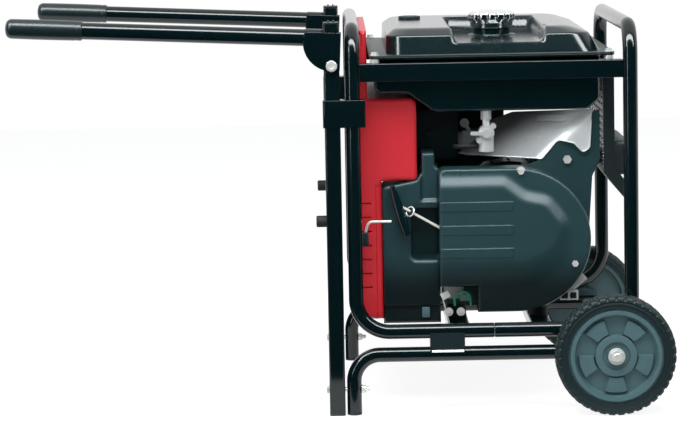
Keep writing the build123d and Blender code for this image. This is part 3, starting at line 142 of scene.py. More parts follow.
def revolve(profile, count=64, closed=False):
    """A profile of (radius, height) turned round the Z axis. A closed profile makes a ring."""
    profile = np.asarray(profile, float)
    a = np.linspace(0, 2 * np.pi, count, endpoint=False)
    r, z = profile[:, 0][:, None], profile[:, 1][:, None]
    points = np.stack([r * np.cos(a), r * np.sin(a), z + 0 * a], -1)
    return grid(points, wrap_u=closed, wrap_v=True)


def rounded(corners, radii, step=0.05):
    """A path through corners, each replaced by an arc that is tangent to both runs."""
    corners = [np.asarray(c, float) for c in corners]
    path = [corners[0]]
    for before, here, after, radius in zip(corners, corners[1:], corners[2:], radii):
        a = (before - here) / np.linalg.norm(before - here)
        b = (after - here) / np.linalg.norm(after - here)
        half = np.arccos(np.clip(a @ b, -1, 1)) / 2
        reach = radius / np.tan(half)
        centre = here + (a + b) / np.linalg.norm(a + b) * radius / np.sin(half)
        first = here + a * reach - centre
        second = here + b * reach - centre
        angle = np.pi - 2 * half
        t = np.linspace(0, 1, max(3, int(angle / step)))[:, None]
        arc = (np.sin((1 - t) * angle) * first + np.sin(t * angle) * second) / np.sin(angle)
        path.extend(centre + arc)
    path.append(corners[-1])
    return np.array(path)


def frames(path):
    """Tangents and two side axes along a path, each pair turned from the last without twist."""
    tangent = np.gradient(path, axis=0)
    tangent /= np.linalg.norm(tangent, axis=1)[:, None]
    side = np.cross(tangent[0], (0, 0, 1))
    if np.linalg.norm(side) < 0.1:
        side = np.cross(tangent[0], (0, 1, 0))
    sides = [side / np.linalg.norm(side)]
    for here in tangent[1:]:
        turned = sides[-1] - here * (here @ sides[-1])
        sides.append(turned / np.linalg.norm(turned))
    sides = np.array(sides)
    return tangent, sides, np.cross(tangent, sides)


def tube(path, radius, count=32, bevel=0.0):
    """A circle of the given radius, or radii, carried along a path, with its ends turned in."""
    path = np.asarray(path, float)
    radii = np.broadcast_to(np.asarray(radius, float), (len(path),)).copy()
    tangent, side, up = frames(path)
    if bevel:
        start, stop = [path[0], path[0] + tangent[0] * bevel], [path[-1] - tangent[-1] * bevel, path[-1]]
        path = np.concatenate([start, path[1:-1], stop])
        radii = np.concatenate([[radii[0] - bevel, radii[0]], radii[1:-1], [radii[-1], radii[-1] - bevel]])
        tangent, side, up = frames(path)
    ring = circle(1.0, count)
    around = ring[None, :, :1] * side[:, None] + ring[None, :, 1:] * up[:, None]
    loops = path[:, None] + radii[:, None, None] * around
    return rings(loops)


def prism(outline, low, high, bevel=0.0, steps=3):
    """An outline in X and Y, thick along Z, with a quarter-round of the given size on both ends."""
    outline = np.asarray(outline, float)
    edge = np.roll(outline, -1, 0) - np.roll(outline, 1, 0)
    normal = np.stack([edge[:, 1], -edge[:, 0]], -1)
    normal /= np.linalg.norm(normal, axis=1)[:, None]
    area = np.sum(outline[:, 0] * np.roll(outline[:, 1], -1) - outline[:, 1] * np.roll(outline[:, 0], -1))
    normal *= np.sign(area)
    loops = []
    turn = np.linspace(0, np.pi / 2, steps + 1) if bevel else [np.pi / 2]
    for end, way, angles in ((low, 1, turn), (high, -1, turn[::-1])):
        for angle in angles:
            ring = outline - normal * (bevel * (1 - np.sin(angle)))
            level = end + way * (bevel * (1 - np.cos(angle)))
            loops.append(np.column_stack([ring, np.full(len(ring), level)]))
    return rings(loops)


def rounded_rectangle(length, width, radius, count=8):
    """The outline of a rectangle with quarter circles for corners, counter-clockwise."""
    a = np.linspace(0, np.pi / 2, count)
    quarter = radius * np.stack([np.cos(a), np.sin(a)], -1)
    parts = []
    for turn, (sx, sy) in enumerate(((1, 1), (-1, 1), (-1, -1), (1, -1))):
        c, s = np.cos(turn * np.pi / 2), np.sin(turn * np.pi / 2)
        arc = quarter @ np.array([[c, s], [-s, c]])
        parts.append(arc + (sx * (length / 2 - radius), sy * (width / 2 - radius)))
    return np.concatenate(parts)


def smooth(x, low, high):
    """0 below low, 1 above high, and 3t^2 - 2t^3 between them."""
    t = np.clip((x - low) / (high - low), 0, 1)
    return t * t * (3 - 2 * t)


def new_object(name, data):
    """A new object that holds the data, linked to the scene."""
    obj = bpy.data.objects.new(name, data)
    bpy.context.scene.collection.objects.link(obj)
    return obj


def piece(name, shell, body, finish_name, replaces=(), sharp=35.0):
    """A new object from a shell: doubles merged, faces turned outwards, edges over the angle kept sharp."""
    points, faces = shell
    if not np.isfinite(points).all():
        raise ValueError(f"{name} has points that are not numbers")
    mesh = bpy.data.meshes.new(name)
    mesh.from_pydata(points.tolist(), [], [f for group in faces for f in group.tolist()])
    work = bmesh.new()
    work.from_mesh(mesh)
    bmesh.ops.remove_doubles(work, verts=work.verts, dist=1e-6)
    bmesh.ops.dissolve_degenerate(work, edges=work.edges, dist=1e-7)
    bmesh.ops.recalc_face_normals(work, faces=work.faces)
    work.to_mesh(mesh)
    work.free()
    mesh.shade_smooth()
    mesh.set_sharp_from_angle(angle=math.radians(sharp))
    mesh.materials.append(FINISHES[finish_name])
    obj = new_object(name, mesh)
    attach(obj, body)
    if replaces:
        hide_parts(*replaces)


# ---- Finishes ----


COAT_ROUGHNESS, ROUGHNESS_SPREAD, GRAIN_DEPTH = 0.06, 0.06, 0.0004


def add_node(nodes, kind, **values):
    """A new shader node; each value goes on the input of that name, with spaces for underscores."""
    made = nodes.new(kind)
    for name, value in values.items():
        made.inputs[name.replace("_", " ")].default_value = value
    return made


def cleared(made):
    """The nodes and links of a new material or world, with no node left in its tree."""
    made.use_nodes = True
    made.node_tree.nodes.clear()
    return made.node_tree.nodes, made.node_tree.links


def finish(
    name, colour, roughness, metallic=0.0, level=0.5, mottle=0.12, patches=14.0, grain=0.1, grain_size=700.0,
    coat=0.0, brushed=None, painted_shade=None,
):
    """A surface with slow colour patches, a fine grain that roughens it, and a bump from the same grain.

    brushed stretches the grain by a factor along each axis, as a brush or a rolling mill does. fade darkens
    the colour towards one side: a direction, where it is darkest, where it ends and the share left there.
    """
    made = bpy.data.materials.new(name)
    made.use_nodes = True
    nodes, links = made.node_tree.nodes, made.node_tree.links
    shader = nodes["Principled BSDF"]
    plain = {
        "Metallic": metallic, "Specular IOR Level": level, "Coat Weight": coat,
        "Coat Roughness": COAT_ROUGHNESS,
    }
    for socket, value in plain.items():
        shader.inputs[socket].default_value = value
    where = nodes.new("ShaderNodeTexCoord")
    turn = add_node(nodes, "ShaderNodeMapping", Scale=brushed or (1, 1, 1))
    links.new(where.outputs["Object"], turn.inputs["Vector"])
    patch = add_node(nodes, "ShaderNodeTexNoise", Scale=patches, Detail=4.0)
    links.new(where.outputs["Object"], patch.inputs["Vector"])
    tint = nodes.new("ShaderNodeMix")
    tint.data_type = "RGBA"
    tint.inputs["A"].default_value = [c * (1 - mottle) for c in colour] + [1]
    tint.inputs["B"].default_value = [min(1.0, c * (1 + mottle)) for c in colour] + [1]
    links.new(patch.outputs["Fac"], tint.inputs["Factor"])
    links.new(tint.outputs["Result"], shader.inputs["Base Color"])
    # Painted shade: a smooth ramp over object coordinates scales the colour down towards one side.
    if painted_shade:
        direction, darkest, ends, share = painted_shade
        along = nodes.new("ShaderNodeVectorMath")
        grade = add_node(
            nodes, "ShaderNodeMapRange", From_Min=darkest, From_Max=ends, To_Min=share, To_Max=1.0,
        )
        scaled = nodes.new("ShaderNodeVectorMath")
        along.operation, scaled.operation = "DOT_PRODUCT", "SCALE"
        along.inputs[1].default_value = direction
        grade.interpolation_type = "SMOOTHSTEP"
        links.new(where.outputs["Object"], along.inputs[0])
        links.new(along.outputs["Value"], grade.inputs["Value"])
        links.new(tint.outputs["Result"], scaled.inputs[0])
        links.new(grade.outputs["Result"], scaled.inputs["Scale"])
        links.new(scaled.outputs["Vector"], shader.inputs["Base Color"])
    fine = add_node(nodes, "ShaderNodeTexNoise", Scale=grain_size, Detail=3.0)
    links.new(turn.outputs["Vector"], fine.inputs["Vector"])
    least, most = max(0.02, roughness - ROUGHNESS_SPREAD), min(1.0, roughness + ROUGHNESS_SPREAD)
    rough = add_node(nodes, "ShaderNodeMapRange", To_Min=least, To_Max=most)
    links.new(fine.outputs["Fac"], rough.inputs["Value"])
    links.new(rough.outputs["Result"], shader.inputs["Roughness"])
    bump = add_node(nodes, "ShaderNodeBump", Strength=grain, Distance=GRAIN_DEPTH)
    links.new(fine.outputs["Fac"], bump.inputs["Height"])
    links.new(bump.outputs["Normal"], shader.inputs["Normal"])
    return made


LOOKS = {
    "frame_enamel": dict(
        colour=(0.0012, 0.007, 0.0088), roughness=0.14, level=0.55, grain=0.05, grain_size=260.0,
    ),
    "tank_enamel": dict(
        colour=(0.001, 0.011, 0.0135), roughness=0.16, level=0.55, grain=0.03, grain_size=220.0,
    ),
    "zinc_plate": dict(
        colour=(0.78, 0.8, 0.78), roughness=0.3, metallic=0.45, grain=0.2, mottle=0.2, patches=60.0,
    ),
    "grip_vinyl": dict(colour=(0.004, 0.014, 0.017), roughness=0.3, level=0.6, grain=0.15, grain_size=500.0),
    "moulded_black": dict(colour=(0.005, 0.018, 0.021), roughness=0.42, grain=0.25, grain_size=1400.0),
    "tyre_rubber": dict(
        colour=(0.003, 0.016, 0.019), roughness=0.55, level=0.35, grain=0.3, grain_size=900.0,
    ),
    "rim_nylon": dict(colour=(0.07, 0.14, 0.155), roughness=0.36, mottle=0.06, grain=0.15, grain_size=1200.0),
    "cap_chrome": dict(colour=(0.8, 0.83, 0.84), roughness=0.08, metallic=1.0, mottle=0.04, grain=0.02),
    "cast_alloy": dict(
        colour=(0.72, 0.75, 0.75), roughness=0.3, metallic=0.5, mottle=0.2, patches=50.0, grain=0.5,
    ),
    # Painted shade: this nylon darkens below z 0.31, down to 22% at z 0.225 and below, on every piece in this
    # finish.
    "shroud_nylon": dict(
        colour=(0.012, 0.046, 0.053), roughness=0.38, mottle=0.1, grain=0.25, grain_size=1500.0,
        painted_shade=((0, 0, 1), 0.225, 0.31, 0.22),
    ),
    "engine_casting": dict(
        colour=(0.05, 0.08, 0.085), roughness=0.5, metallic=0.5, mottle=0.25, grain=0.6, grain_size=420.0,
    ),
    "machined_steel": dict(
        colour=(0.5, 0.52, 0.52), roughness=0.25, metallic=1.0, grain=0.15, brushed=(1, 1, 30),
    ),
    "rotor_iron": dict(
        colour=(0.16, 0.15, 0.15), roughness=0.45, metallic=0.9, grain=0.3, brushed=(1, 40, 1),
    ),
    # Painted shade: the sheet's colour darkens towards its upper left, along 0.5 x - 0.866 z, to 5% at the
    # darkest.
    "shield_sheet": dict(
        colour=(0.86, 0.9, 0.92), roughness=0.27, metallic=0.4, mottle=0.1, patches=26.0, grain=0.1,
        brushed=(1, 1, 14), painted_shade=((0.5, 0, -0.866), -0.31, -0.232, 0.05),
    ),
    "panel_red": dict(colour=(0.6, 0.016, 0.028), roughness=0.36, mottle=0.04, grain=0.12, grain_size=1100.0),
    "panel_graphite": dict(colour=(0.02, 0.028, 0.03), roughness=0.5, grain=0.3, grain_size=1600.0),
    "rope_braid": dict(
        colour=(0.66, 0.66, 0.6), roughness=0.8, mottle=0.2, patches=500.0, grain=0.6, grain_size=2500.0,
    ),
    "soft_rubber": dict(colour=(0.012, 0.016, 0.017), roughness=0.7, level=0.3, grain=0.3),
    "muffler_paint": dict(
        colour=(0.03, 0.045, 0.047), roughness=0.55, metallic=0.3, mottle=0.3, patches=24.0, grain=0.4,
    ),
    "wire_green": dict(colour=(0.01, 0.25, 0.12), roughness=0.4, grain=0.1),
    "guard_sheet": dict(
        colour=(0.014, 0.026, 0.03), roughness=0.42, metallic=0.25, mottle=0.2, grain=0.2, grain_size=500.0,
    ),
    "bead_metal": dict(
        colour=(0.62, 0.66, 0.68), roughness=0.3, metallic=1.0, mottle=0.2, patches=120.0, grain=0.1,
    ),
    "pale_nylon": dict(colour=(0.62, 0.66, 0.64), roughness=0.45, mottle=0.08, grain=0.1, grain_size=900.0),
    "gauge_lens": dict(colour=(0.5, 0.52, 0.52), roughness=0.1, level=0.8, grain=0.02, coat=0.5),
}
FINISH_OF_SLOT = {
    "frame_paint": "frame_enamel", "zinc": "zinc_plate", "grip_rubber": "grip_vinyl",
    "black_plastic": "moulded_black", "tyre_rubber": "tyre_rubber", "rim_plastic": "rim_nylon",
    "tank_paint": "tank_enamel", "cap_chrome": "cap_chrome", "gauge_face": "gauge_lens",
    "valve_metal": "cast_alloy", "shroud_plastic": "shroud_nylon", "engine_metal": "engine_casting",
    "steel": "machined_steel", "rotor_iron": "rotor_iron", "shield_metal": "shield_sheet",
    "red_plastic": "panel_red", "panel_grey": "panel_graphite", "rope_fibre": "rope_braid",
    "soft_rubber": "soft_rubber", "muffler_paint": "muffler_paint", "wire_green": "wire_green",
}
FINISHES = {name: finish(name, **look) for name, look in LOOKS.items()}
FINISH_OF_NODE = {"muffler_guard": "guard_sheet", "tank_rails": "frame_enamel", "recoil_grip": "tank_enamel"}


def dress_frame():
    """Every CAD node's own finish, or the finish of its slot."""
    for part in frame["record"]["subparts"]:
        mesh = frame["nodes"][part["node"]].data
        chosen = FINISH_OF_NODE.get(part["node"], FINISH_OF_SLOT[part["material_slot"]])
        mesh.materials.clear()
        mesh.materials.append(FINISHES[chosen])


# ---- Cords ----


def cord_curve(name, points, length, diameter, body, finish_name, node, slot, **facts):
    """A hose, rope or wire: a smooth spline led by its route's points, as thick as the real one."""
    curve = bpy.data.curves.new(name, "CURVE")
    curve.dimensions = "3D"
    curve.bevel_depth = diameter / 2
    curve.bevel_resolution = 6
    curve.resolution_u = curve.render_resolution_u = 24
    curve.use_fill_caps = True
    spline = curve.splines.new("NURBS")
    spline.points.add(len(points) - 1)
    for control, at in zip(spline.points, points):
        control.co = (*at, 1.0)
    spline.order_u = 3
    spline.use_endpoint_u = True
    curve.materials.append(FINISHES[finish_name])
    obj = new_object(name, curve)
    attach(obj, body)
    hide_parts(node)


def make_fuel_hose():
    """The hose from the fuel valve to the carburettor, 203 mm long."""
    points = [
        (0.2639, -0.258, 0.504), (0.2195, -0.258, 0.504), (0.2195, -0.2, 0.5), (0.2618, -0.143, 0.486),
        (0.2618, -0.1081, 0.486),
    ]
    facts = {"far_end": "object", "stiffness": "medium", "lay": "hanging"}
    cord_curve("FuelHose", points, 0.203, 0.008, "frame", "soft_rubber", "fuel_hose", "soft_rubber", **facts)


def make_ground_wire():
    """The short green wire that loops between two lugs at the engine's foot, 76 mm long."""
    points = [
        (0.2145, -0.262, 0.198), (0.2105, -0.262, 0.216), (0.2305, -0.261, 0.228), (0.2465, -0.26, 0.216),
        (0.2445, -0.259, 0.198),
    ]
    facts = {"far_end": "object", "stiffness": "stiff", "lay": "loose"}
    cord_curve(
        "GroundWire", points, 0.076, 0.0045, "frame", "wire_green", "ground_wire", "wire_green", **facts,
    )


def rope_line():
    """Where the starter rope leaves its reel, and the way it runs: the reel's tangent at the pull's angle."""
    crank, sine, cosine = middle("crankshaft"), math.sin(PULL_ANGLE), math.cos(PULL_ANGLE)
    touch = np.array([crank[0] - sine * REEL_RADIUS, REEL_Y, crank[2] - cosine * REEL_RADIUS])
    return touch, np.array([-cosine, 0.0, sine])


def make_recoil_rope():
    """The starter rope, drawn tight from the reel's tangent to the grip, 338 mm long with its hidden run."""
    touch, along = rope_line()
    points = [tuple(touch + along * s) for s in (-0.1215, 0.05, ROPE_REACH - 0.005)]
    facts = {
        "far_end": "fitting", "stiffness": "limp", "lay": "taut",
        "with_pieces": [frame["nodes"]["recoil_grip"]],
    }
    cord_curve(
        "RecoilRope", points, 0.338, 0.005, "recoil_pull", "rope_braid", "recoil_rope", "rope_fibre", **facts,
    )


# ---- Tubes of the frame, legs and handles ----


def hoop_points(node, open_side):
    """A hoop's corners, from rail to rail over the top. open_side is -1 where the rails run to low X."""
    low, high = box_of(node)
    r = bpy.context.scene.generator_frame.tube_diameter / 2
    upright = low[0] + r if open_side > 0 else high[0] - r
    seam = high[0] if open_side > 0 else low[0]
    rail, top, side = low[2] + r, high[2] - r, high[1] - r
    return [
        (seam, -side, rail), (upright, -side, rail), (upright, -side, top), (upright, side, top),
        (upright, side, rail), (seam, side, rail),
    ]


def make_hoops():
    """Each hoop is a round tube along straight runs and tangent arcs."""
    settings = bpy.context.scene.generator_frame
    r = settings.tube_diameter / 2
    bends = [settings.rail_bend, settings.hoop_bend, settings.hoop_bend, settings.rail_bend]
    for name, node, side in (("FrontHoop", "front_hoop", 1), ("RearHoop", "rear_hoop", -1)):
        path = rounded(hoop_points(node, side), bends)
        piece(name, tube(path, r, 40, 0.001), "frame", "frame_enamel", [node])


def make_legs():
    """Each leg tube is a foot, an arc and a long run to the axle."""
    settings = bpy.context.scene.generator_frame
    r = settings.tube_diameter / 2
    low, high = box_of("leg_tubes")
    shells = []
    for side in (low[1] + r, high[1] - r):
        run = high[2] - r
        path = rounded(
            [(low[0] + r, side, low[2]), (low[0] + r, side, run), (high[0], side, run)], [settings.leg_bend],
        )
        shells.append(tube(path, r, 40, 0.001))
    piece("LegTubes", join(*shells), "frame", "frame_enamel", ["leg_tubes"])


# ---- Wheels ----


def tyre_shell():
    """A ring whose section is a rounded box; the crown is lowered where a zigzag tread groove runs.

    Grooves are a band round |w - a tri(k angle)| and cross slots that alternate between the two shoulders.
    """
    settings = bpy.context.scene.generator_wheel
    low, high = box_of("tyre_right")
    outer, half = (high[0] - low[0]) / 2, (high[1] - low[1]) / 2
    inner = settings.rim_diameter / 2 + 0.0002
    shoulder = 0.009
    wall = np.linspace(inner, outer - shoulder, 9)
    left = np.stack([wall, np.full(9, -half)], -1)
    turn = np.linspace(0, np.pi / 2, 9)
    bend = np.stack([outer - shoulder * (1 - np.sin(turn)), -half + shoulder * (1 - np.cos(turn))], -1)
    crown = np.stack([np.full(25, outer), np.linspace(-half + shoulder, half - shoulder, 25)], -1)[1:-1]
    profile = np.concatenate([left, bend[1:], crown, bend[::-1] * (1, -1), left[::-1] * (1, -1)])
    count = settings.tread_blocks * 16
    a = np.linspace(0, 2 * np.pi, count, endpoint=False)
    r, w = profile[:, 0][:, None], profile[:, 1][:, None]
    phase = a * settings.tread_blocks / (2 * np.pi)
    wave = 2 * np.abs(2 * (phase % 1) - 1) - 1
    centre = smooth(0.0022 - np.abs(w - 0.0035 * wave), 0, 0.0009)
    side_phase = (phase + np.where(w > 0, 0.5, 0.0)) % 1
    cross = smooth(0.16 - np.abs(side_phase - 0.5), 0, 0.05) * smooth(np.abs(w), 0.0075, 0.0095)
    band = smooth(0.0013 - np.abs(np.abs(w) - 0.0135 - 0.002 * wave), 0, 0.0006)
    cut = np.clip(centre + cross + band, 0, 1)
    r = r - settings.tread_depth * cut * smooth(r, outer - 0.0085, outer - 0.006)
    bead_groove = 0.0012 * np.exp(-(((r - inner - 0.0045) / 0.0009) ** 2))
    groove = bead_groove + 0.0008 * np.exp(-(((r - outer + 0.0125) / 0.0012) ** 2))
    w = w - np.sign(w) * groove * (np.abs(w) > half - 0.001)
    points = np.stack([r * np.cos(a), r * np.sin(a), w + 0 * a], -1)
    return grid(points, wrap_u=True, wrap_v=True)


def rim_shell():
    """A wheel disc: height over (radius, angle) is a hub boss, a recessed web with raised pads, and a lip."""
    settings = bpy.context.scene.generator_wheel
    low, high = box_of("wheel_rim_right")
    outer, half = (high[0] - low[0]) / 2, (high[1] - low[1]) / 2
    bore = 0.00806
    r = np.concatenate([
        [bore, 0.0085, 0.0165, 0.018, 0.024, 0.0255, 0.0265, 0.031, 0.0375, 0.0392, 0.0405, 0.0425],
        np.linspace(0.045, 0.068, 10),
        [0.0702, 0.0722, 0.0738, 0.0755, 0.079, 0.082, 0.0845, 0.0862, 0.0885, outer],
    ])[:, None]
    a = np.linspace(0, 2 * np.pi, 360, endpoint=False)
    lobe = np.cos(settings.spoke_count * (a - math.radians(270)))
    web = half - 0.017
    pad = smooth(lobe, -0.1, 0.1) * smooth(r, 0.0405, 0.0425) * (1 - smooth(r, 0.0702, 0.0722))
    front = web + 0.008 * pad + 0.0006 * np.exp(-((r - 0.058) / 0.008) ** 2) * pad
    front = front + (half - 0.001 - web) * smooth(r, 0.0738, 0.0795)
    front = np.where(r < 0.0405, web + 0.0115, front) + 0 * a
    front = np.where(r < 0.0385, web + 0.012, front)
    front = np.where(r < 0.0262, web + 0.0075, front)
    front = np.where(r < 0.0172, half, front)
    lip = np.where(r > 0.0862, half - 0.003 - 0.0015, np.inf)
    front = np.minimum(front, lip)
    back = -(front * 0 + half - 0.003) + 0.014 * smooth(0.082 - r, 0, 0.003) * (r > 0.03)
    loops = np.concatenate([
        np.stack([r * np.cos(a), r * np.sin(a), front], -1),
        np.stack([r * np.cos(a), r * np.sin(a), back], -1)[::-1],
    ])
    return grid(loops, wrap_u=True, wrap_v=True)


def make_wheels():
    """The tyre and rim surfaces, set on each hub with their outer faces outwards."""
    for side, sign in (("right", -1), ("left", 1)):
        hub = middle(f"tyre_{side}")
        axes, body = ((1, 0, 0), (0, 0, 1), (0, sign, 0)), f"wheel_{side}"
        tyre, rim = place(tyre_shell(), hub, *axes), place(rim_shell(), hub, *axes)
        piece(f"Tyre.{side}", tyre, body, "tyre_rubber", [f"tyre_{side}"], 40)
        piece(f"Rim.{side}", rim, body, "rim_nylon", [f"wheel_rim_{side}"], 30)


# ---- Fuel tank and its rails ----


def make_tank_rails():
    """Two angle bars under the tank's flange, each an L-shaped section with soft edges run along X."""
    low, high = box_of("tank_rails")
    wall, shelf = 0.004, 0.024
    outer, inner = high[1], high[1] - wall
    section = rounded(
        [
            (outer, high[2] - 0.012), (outer, high[2]), (inner - shelf, high[2]),
            (inner - shelf, high[2] - wall), (inner, high[2] - wall), (inner, low[2]), (outer, low[2]),
            (outer, high[2] - 0.012),
        ],
        [0.0024, 0.0008, 0.0008, 0.0008, 0.0008, 0.0012], 0.2,
    )[:-1]
    bar = prism(section, low[0], high[0], 0.0006, 2)
    near = place(bar, (0, 0, 0), (0, -1, 0), (0, 0, 1), (1, 0, 0))
    far = place(bar, (0, 0, 0), (0, 1, 0), (0, 0, 1), (1, 0, 0))
    piece("TankRails", join(near, far), "frame", "frame_enamel", ["tank_rails"], 40)


RING_STEP, TANK_SKIRT, PLATE_HALF = 0.003, 0.024, 0.003


def loop(left, right, half, radius, count):
    """Evenly spaced points round a rectangle with rounded corners, from its ends in X and half its width."""
    outline = rounded_rectangle(right - left, 2 * half, radius, 12) + ((left + right) / 2, 0)
    closed = np.concatenate([outline, outline[:1]])
    run = np.concatenate([[0], np.cumsum(np.linalg.norm(np.diff(closed, axis=0), axis=1))])
    at = np.linspace(0, run[-1], count, endpoint=False)
    return np.stack([np.interp(at, run, closed[:, k]) for k in (0, 1)], -1)


def tank_rings(stations, bends, count):
    """Rounded rectangles carried up a rounded profile of stations (left, right, half width, height, corner),
    with a ring at least every 3 mm of height, so that a well can be pressed into the walls."""
    path = rounded(stations, bends, 0.06)
    rise = np.abs(np.diff(path[:, 3]))
    parts = [np.linspace(k, k + 1, int(step / RING_STEP) + 1, endpoint=False) for k, step in enumerate(rise)]
    along = np.concatenate([*parts, [len(rise)]])
    path = np.stack([np.interp(along, np.arange(len(path)), path[:, k]) for k in range(5)], -1)
    return np.stack([
        np.column_stack([loop(left, right, half, corner_radius, count), np.full(count, height)])
        for left, right, half, height, corner_radius in path
    ])


def make_tank_upper():
    """The crown is rounded rectangles that lean in, less a sloped well that opens on the starter's side."""
    settings = bpy.context.scene.generator_tank
    low, high = box_of("tank_upper")
    flange = low[2] + PLATE_HALF
    centre, top = (low[0] + high[0]) / 2, high[2]
    half = (high[1] - low[1]) / 2
    foot = [centre - 0.199, centre + 0.209, half - TANK_SKIRT, flange, 0.04]
    shoulder = [
        centre - 0.198, centre + 0.188, half - 0.037, flange + settings.shoulder * (top - flange), 0.038,
    ]
    crown = [centre - 0.181, centre + 0.149, half - 0.065, top, 0.034]
    inner = [centre - 0.03, centre - 0.01, 0.03, top, 0.006]
    stations = [[*foot[:3], flange - 0.0006, 0.04], foot, shoulder, crown, inner]
    loops = tank_rings(stations, [0.0002, settings.edge_radius, 0.085], 700)
    fill = np.linspace(0, 1, 46)[1:, None, None]
    loops = np.concatenate([loops[:-1], loops[-2] + (loops[-1] - loops[-2]) * fill])
    cap = middle("fuel_cap")
    wall = smooth(settings.well_half + 0.013 - np.abs(loops[..., 0] - cap[0]), 0, 0.015)
    back = smooth(settings.well_back - loops[..., 1], -0.008, 0.012)
    drop = np.maximum(loops[..., 2] - (top - (top - settings.well_floor)), 0) * wall * back
    loops[..., 2] -= drop
    neck = revolve([(0.0, 0.0), (0.03, 0.0), (0.036, 0.0), (0.036, 0.0145), (0.034, 0.016), (0.0, 0.016)], 96)
    neck = place(neck, (cap[0], cap[1], settings.well_floor - 0.001))
    ring = revolve(
        [(0.0365, 0), (0.047, 0), (0.0475, 0.0008), (0.046, 0.0022), (0.0375, 0.0026), (0.0365, 0.0026)], 96,
        closed=True,
    )
    ring = place(ring, (cap[0], cap[1], settings.well_floor - 0.0003))
    shell = join(rings(loops), neck, ring)
    piece("TankUpper", shell, "frame", "tank_enamel", ["tank_upper"], 42)
    plate = prism(rounded_rectangle(high[0] - low[0], 2 * half, 0.014, 12), low[2], flange, 0.0008, 3)
    plate = place(plate, (centre, 0, 0))
    piece("TankFlange", plate, "frame", "moulded_black", ["tank_upper"], 32)


def make_tank_lower():
    """The pan is one side outline with soft lower edges, under the seam flange."""
    low, high = box_of("tank_lower")
    half = (high[1] - low[1]) / 2 - TANK_SKIRT
    flange = high[2] - PLATE_HALF
    left, right = low[0] + 0.0105, high[0] - 0.027
    base, ledge = low[2], flange - 0.068
    outline = rounded(
        [
            (centre_of(left, right), flange), (left, flange), (left, ledge), (left + 0.062, ledge),
            (left + 0.112, base), (right - 0.022, base), (right, base + 0.019), (right, flange),
            (centre_of(left, right), flange),
        ],
        [0.001, 0.014, 0.022, 0.022, 0.014, 0.01, 0.001],
    )[:-1]
    pan = prism(outline, -half, half, 0.009, 7)
    pan = place(pan, (0, 0, 0), *FACING_SIDE)
    rim = prism(rounded_rectangle(high[0] - low[0], high[1] - low[1], 0.014, 12), flange, high[2], 0.0008, 3)
    rim = place(rim, (centre_of(low[0], high[0]), 0, 0))
    seam = prism(
        rounded_rectangle(right - left + 0.003, 2 * half + 0.003, 0.012, 12), flange - 0.0035, flange, 0.0008,
        3,
    )
    seam = place(seam, (centre_of(left, right), 0, 0))
    piece("TankLower", join(pan, rim, seam), "frame", "tank_enamel", ["tank_lower"], 32)


def make_fuel_cap():
    """A domed cap with broad finger lobes: the radius waves with the angle, most at the skirt's top."""
    low, high = box_of("fuel_cap")
    centre = middle("fuel_cap")
    outer, height = (high[0] - low[0]) / 2, high[2] - low[2]
    a = np.linspace(0, 2 * np.pi, 480, endpoint=False)[:, None]
    profile = rounded(
        [
            (0.0365, 0.001), (0.041, 0.0), (0.0425, 0.3 * height), (outer, 0.5 * height),
            (outer, 0.82 * height), (outer - 0.007, 0.93 * height), (0.024, height - 0.0012),
            (0.0215, height), (0.0, height),
        ],
        [0.001, 0.004, 0.003, 0.003, 0.006, 0.004, 0.001], 0.2,
    )
    r, z = profile[:, 0][None], profile[:, 1][None]
    lobes = np.abs(np.cos(6 * a)) ** 0.8
    skirt = smooth(z, 0.34 * height, 0.5 * height) * smooth(r, 0.036, 0.043)
    depth = skirt * (1 - smooth(z, 0.84 * height, 0.95 * height))
    r = r - 0.0048 * (1 - lobes) * depth
    points = np.stack([r * np.cos(a), r * np.sin(a), z + 0 * a], -1)
    inside = revolve([(0.0, 0.5 * height), (0.0365, 0.5 * height), (0.0365, 0.001)], 480)
    shell = join(grid(points.transpose(1, 0, 2), wrap_v=True), inside)
    shell = place(shell, (centre[0], centre[1], low[2]))
    piece("FuelCap", shell, "cap", "cap_chrome", ["fuel_cap"], 30)


def make_fuel_gauge():
    """A ribbed bezel ring and a low lens with a pointer bar under it."""
    low, high = box_of("fuel_gauge")
    centre = middle("fuel_gauge")
    outer, height = (high[0] - low[0]) / 2, high[2] - low[2]
    a = np.linspace(0, 2 * np.pi, 240, endpoint=False)[:, None]
    profile = rounded(
        [
            (0.0165, 0.0), (outer, 0.0), (outer, 0.85 * height), (outer - 0.002, height), (0.0175, height),
            (0.0165, 0.6 * height), (0.0165, 0.0),
        ],
        [0.0005, 0.001, 0.0012, 0.0012, 0.0006], 0.3,
    )[:-1]
    r, z = profile[:, 0][None], profile[:, 1][None]
    r = r - 0.0007 * (np.cos(40 * a) > 0) * smooth(r, outer - 0.0012, outer - 0.0004)
    points = np.stack([r * np.cos(a), r * np.sin(a), z + 0 * a], -1)
    bezel = grid(points.transpose(1, 0, 2), wrap_u=True, wrap_v=True)
    bezel = place(bezel, (centre[0], centre[1], low[2]))
    lens = revolve(
        [
            (0.0, 0.0), (0.0164, 0.0), (0.0164, 0.55 * height), (0.012, 0.72 * height), (0.006, 0.8 * height),
            (0.0, 0.82 * height),
        ],
        96,
    )
    lens = place(lens, (centre[0], centre[1], low[2]))
    piece("GaugeBezel", bezel, "frame", "moulded_black", (), 40)
    piece("GaugeLens", lens, "frame", "gauge_lens", ["fuel_gauge"], 40)


# ---- Covers on the starter's side of the engine ----


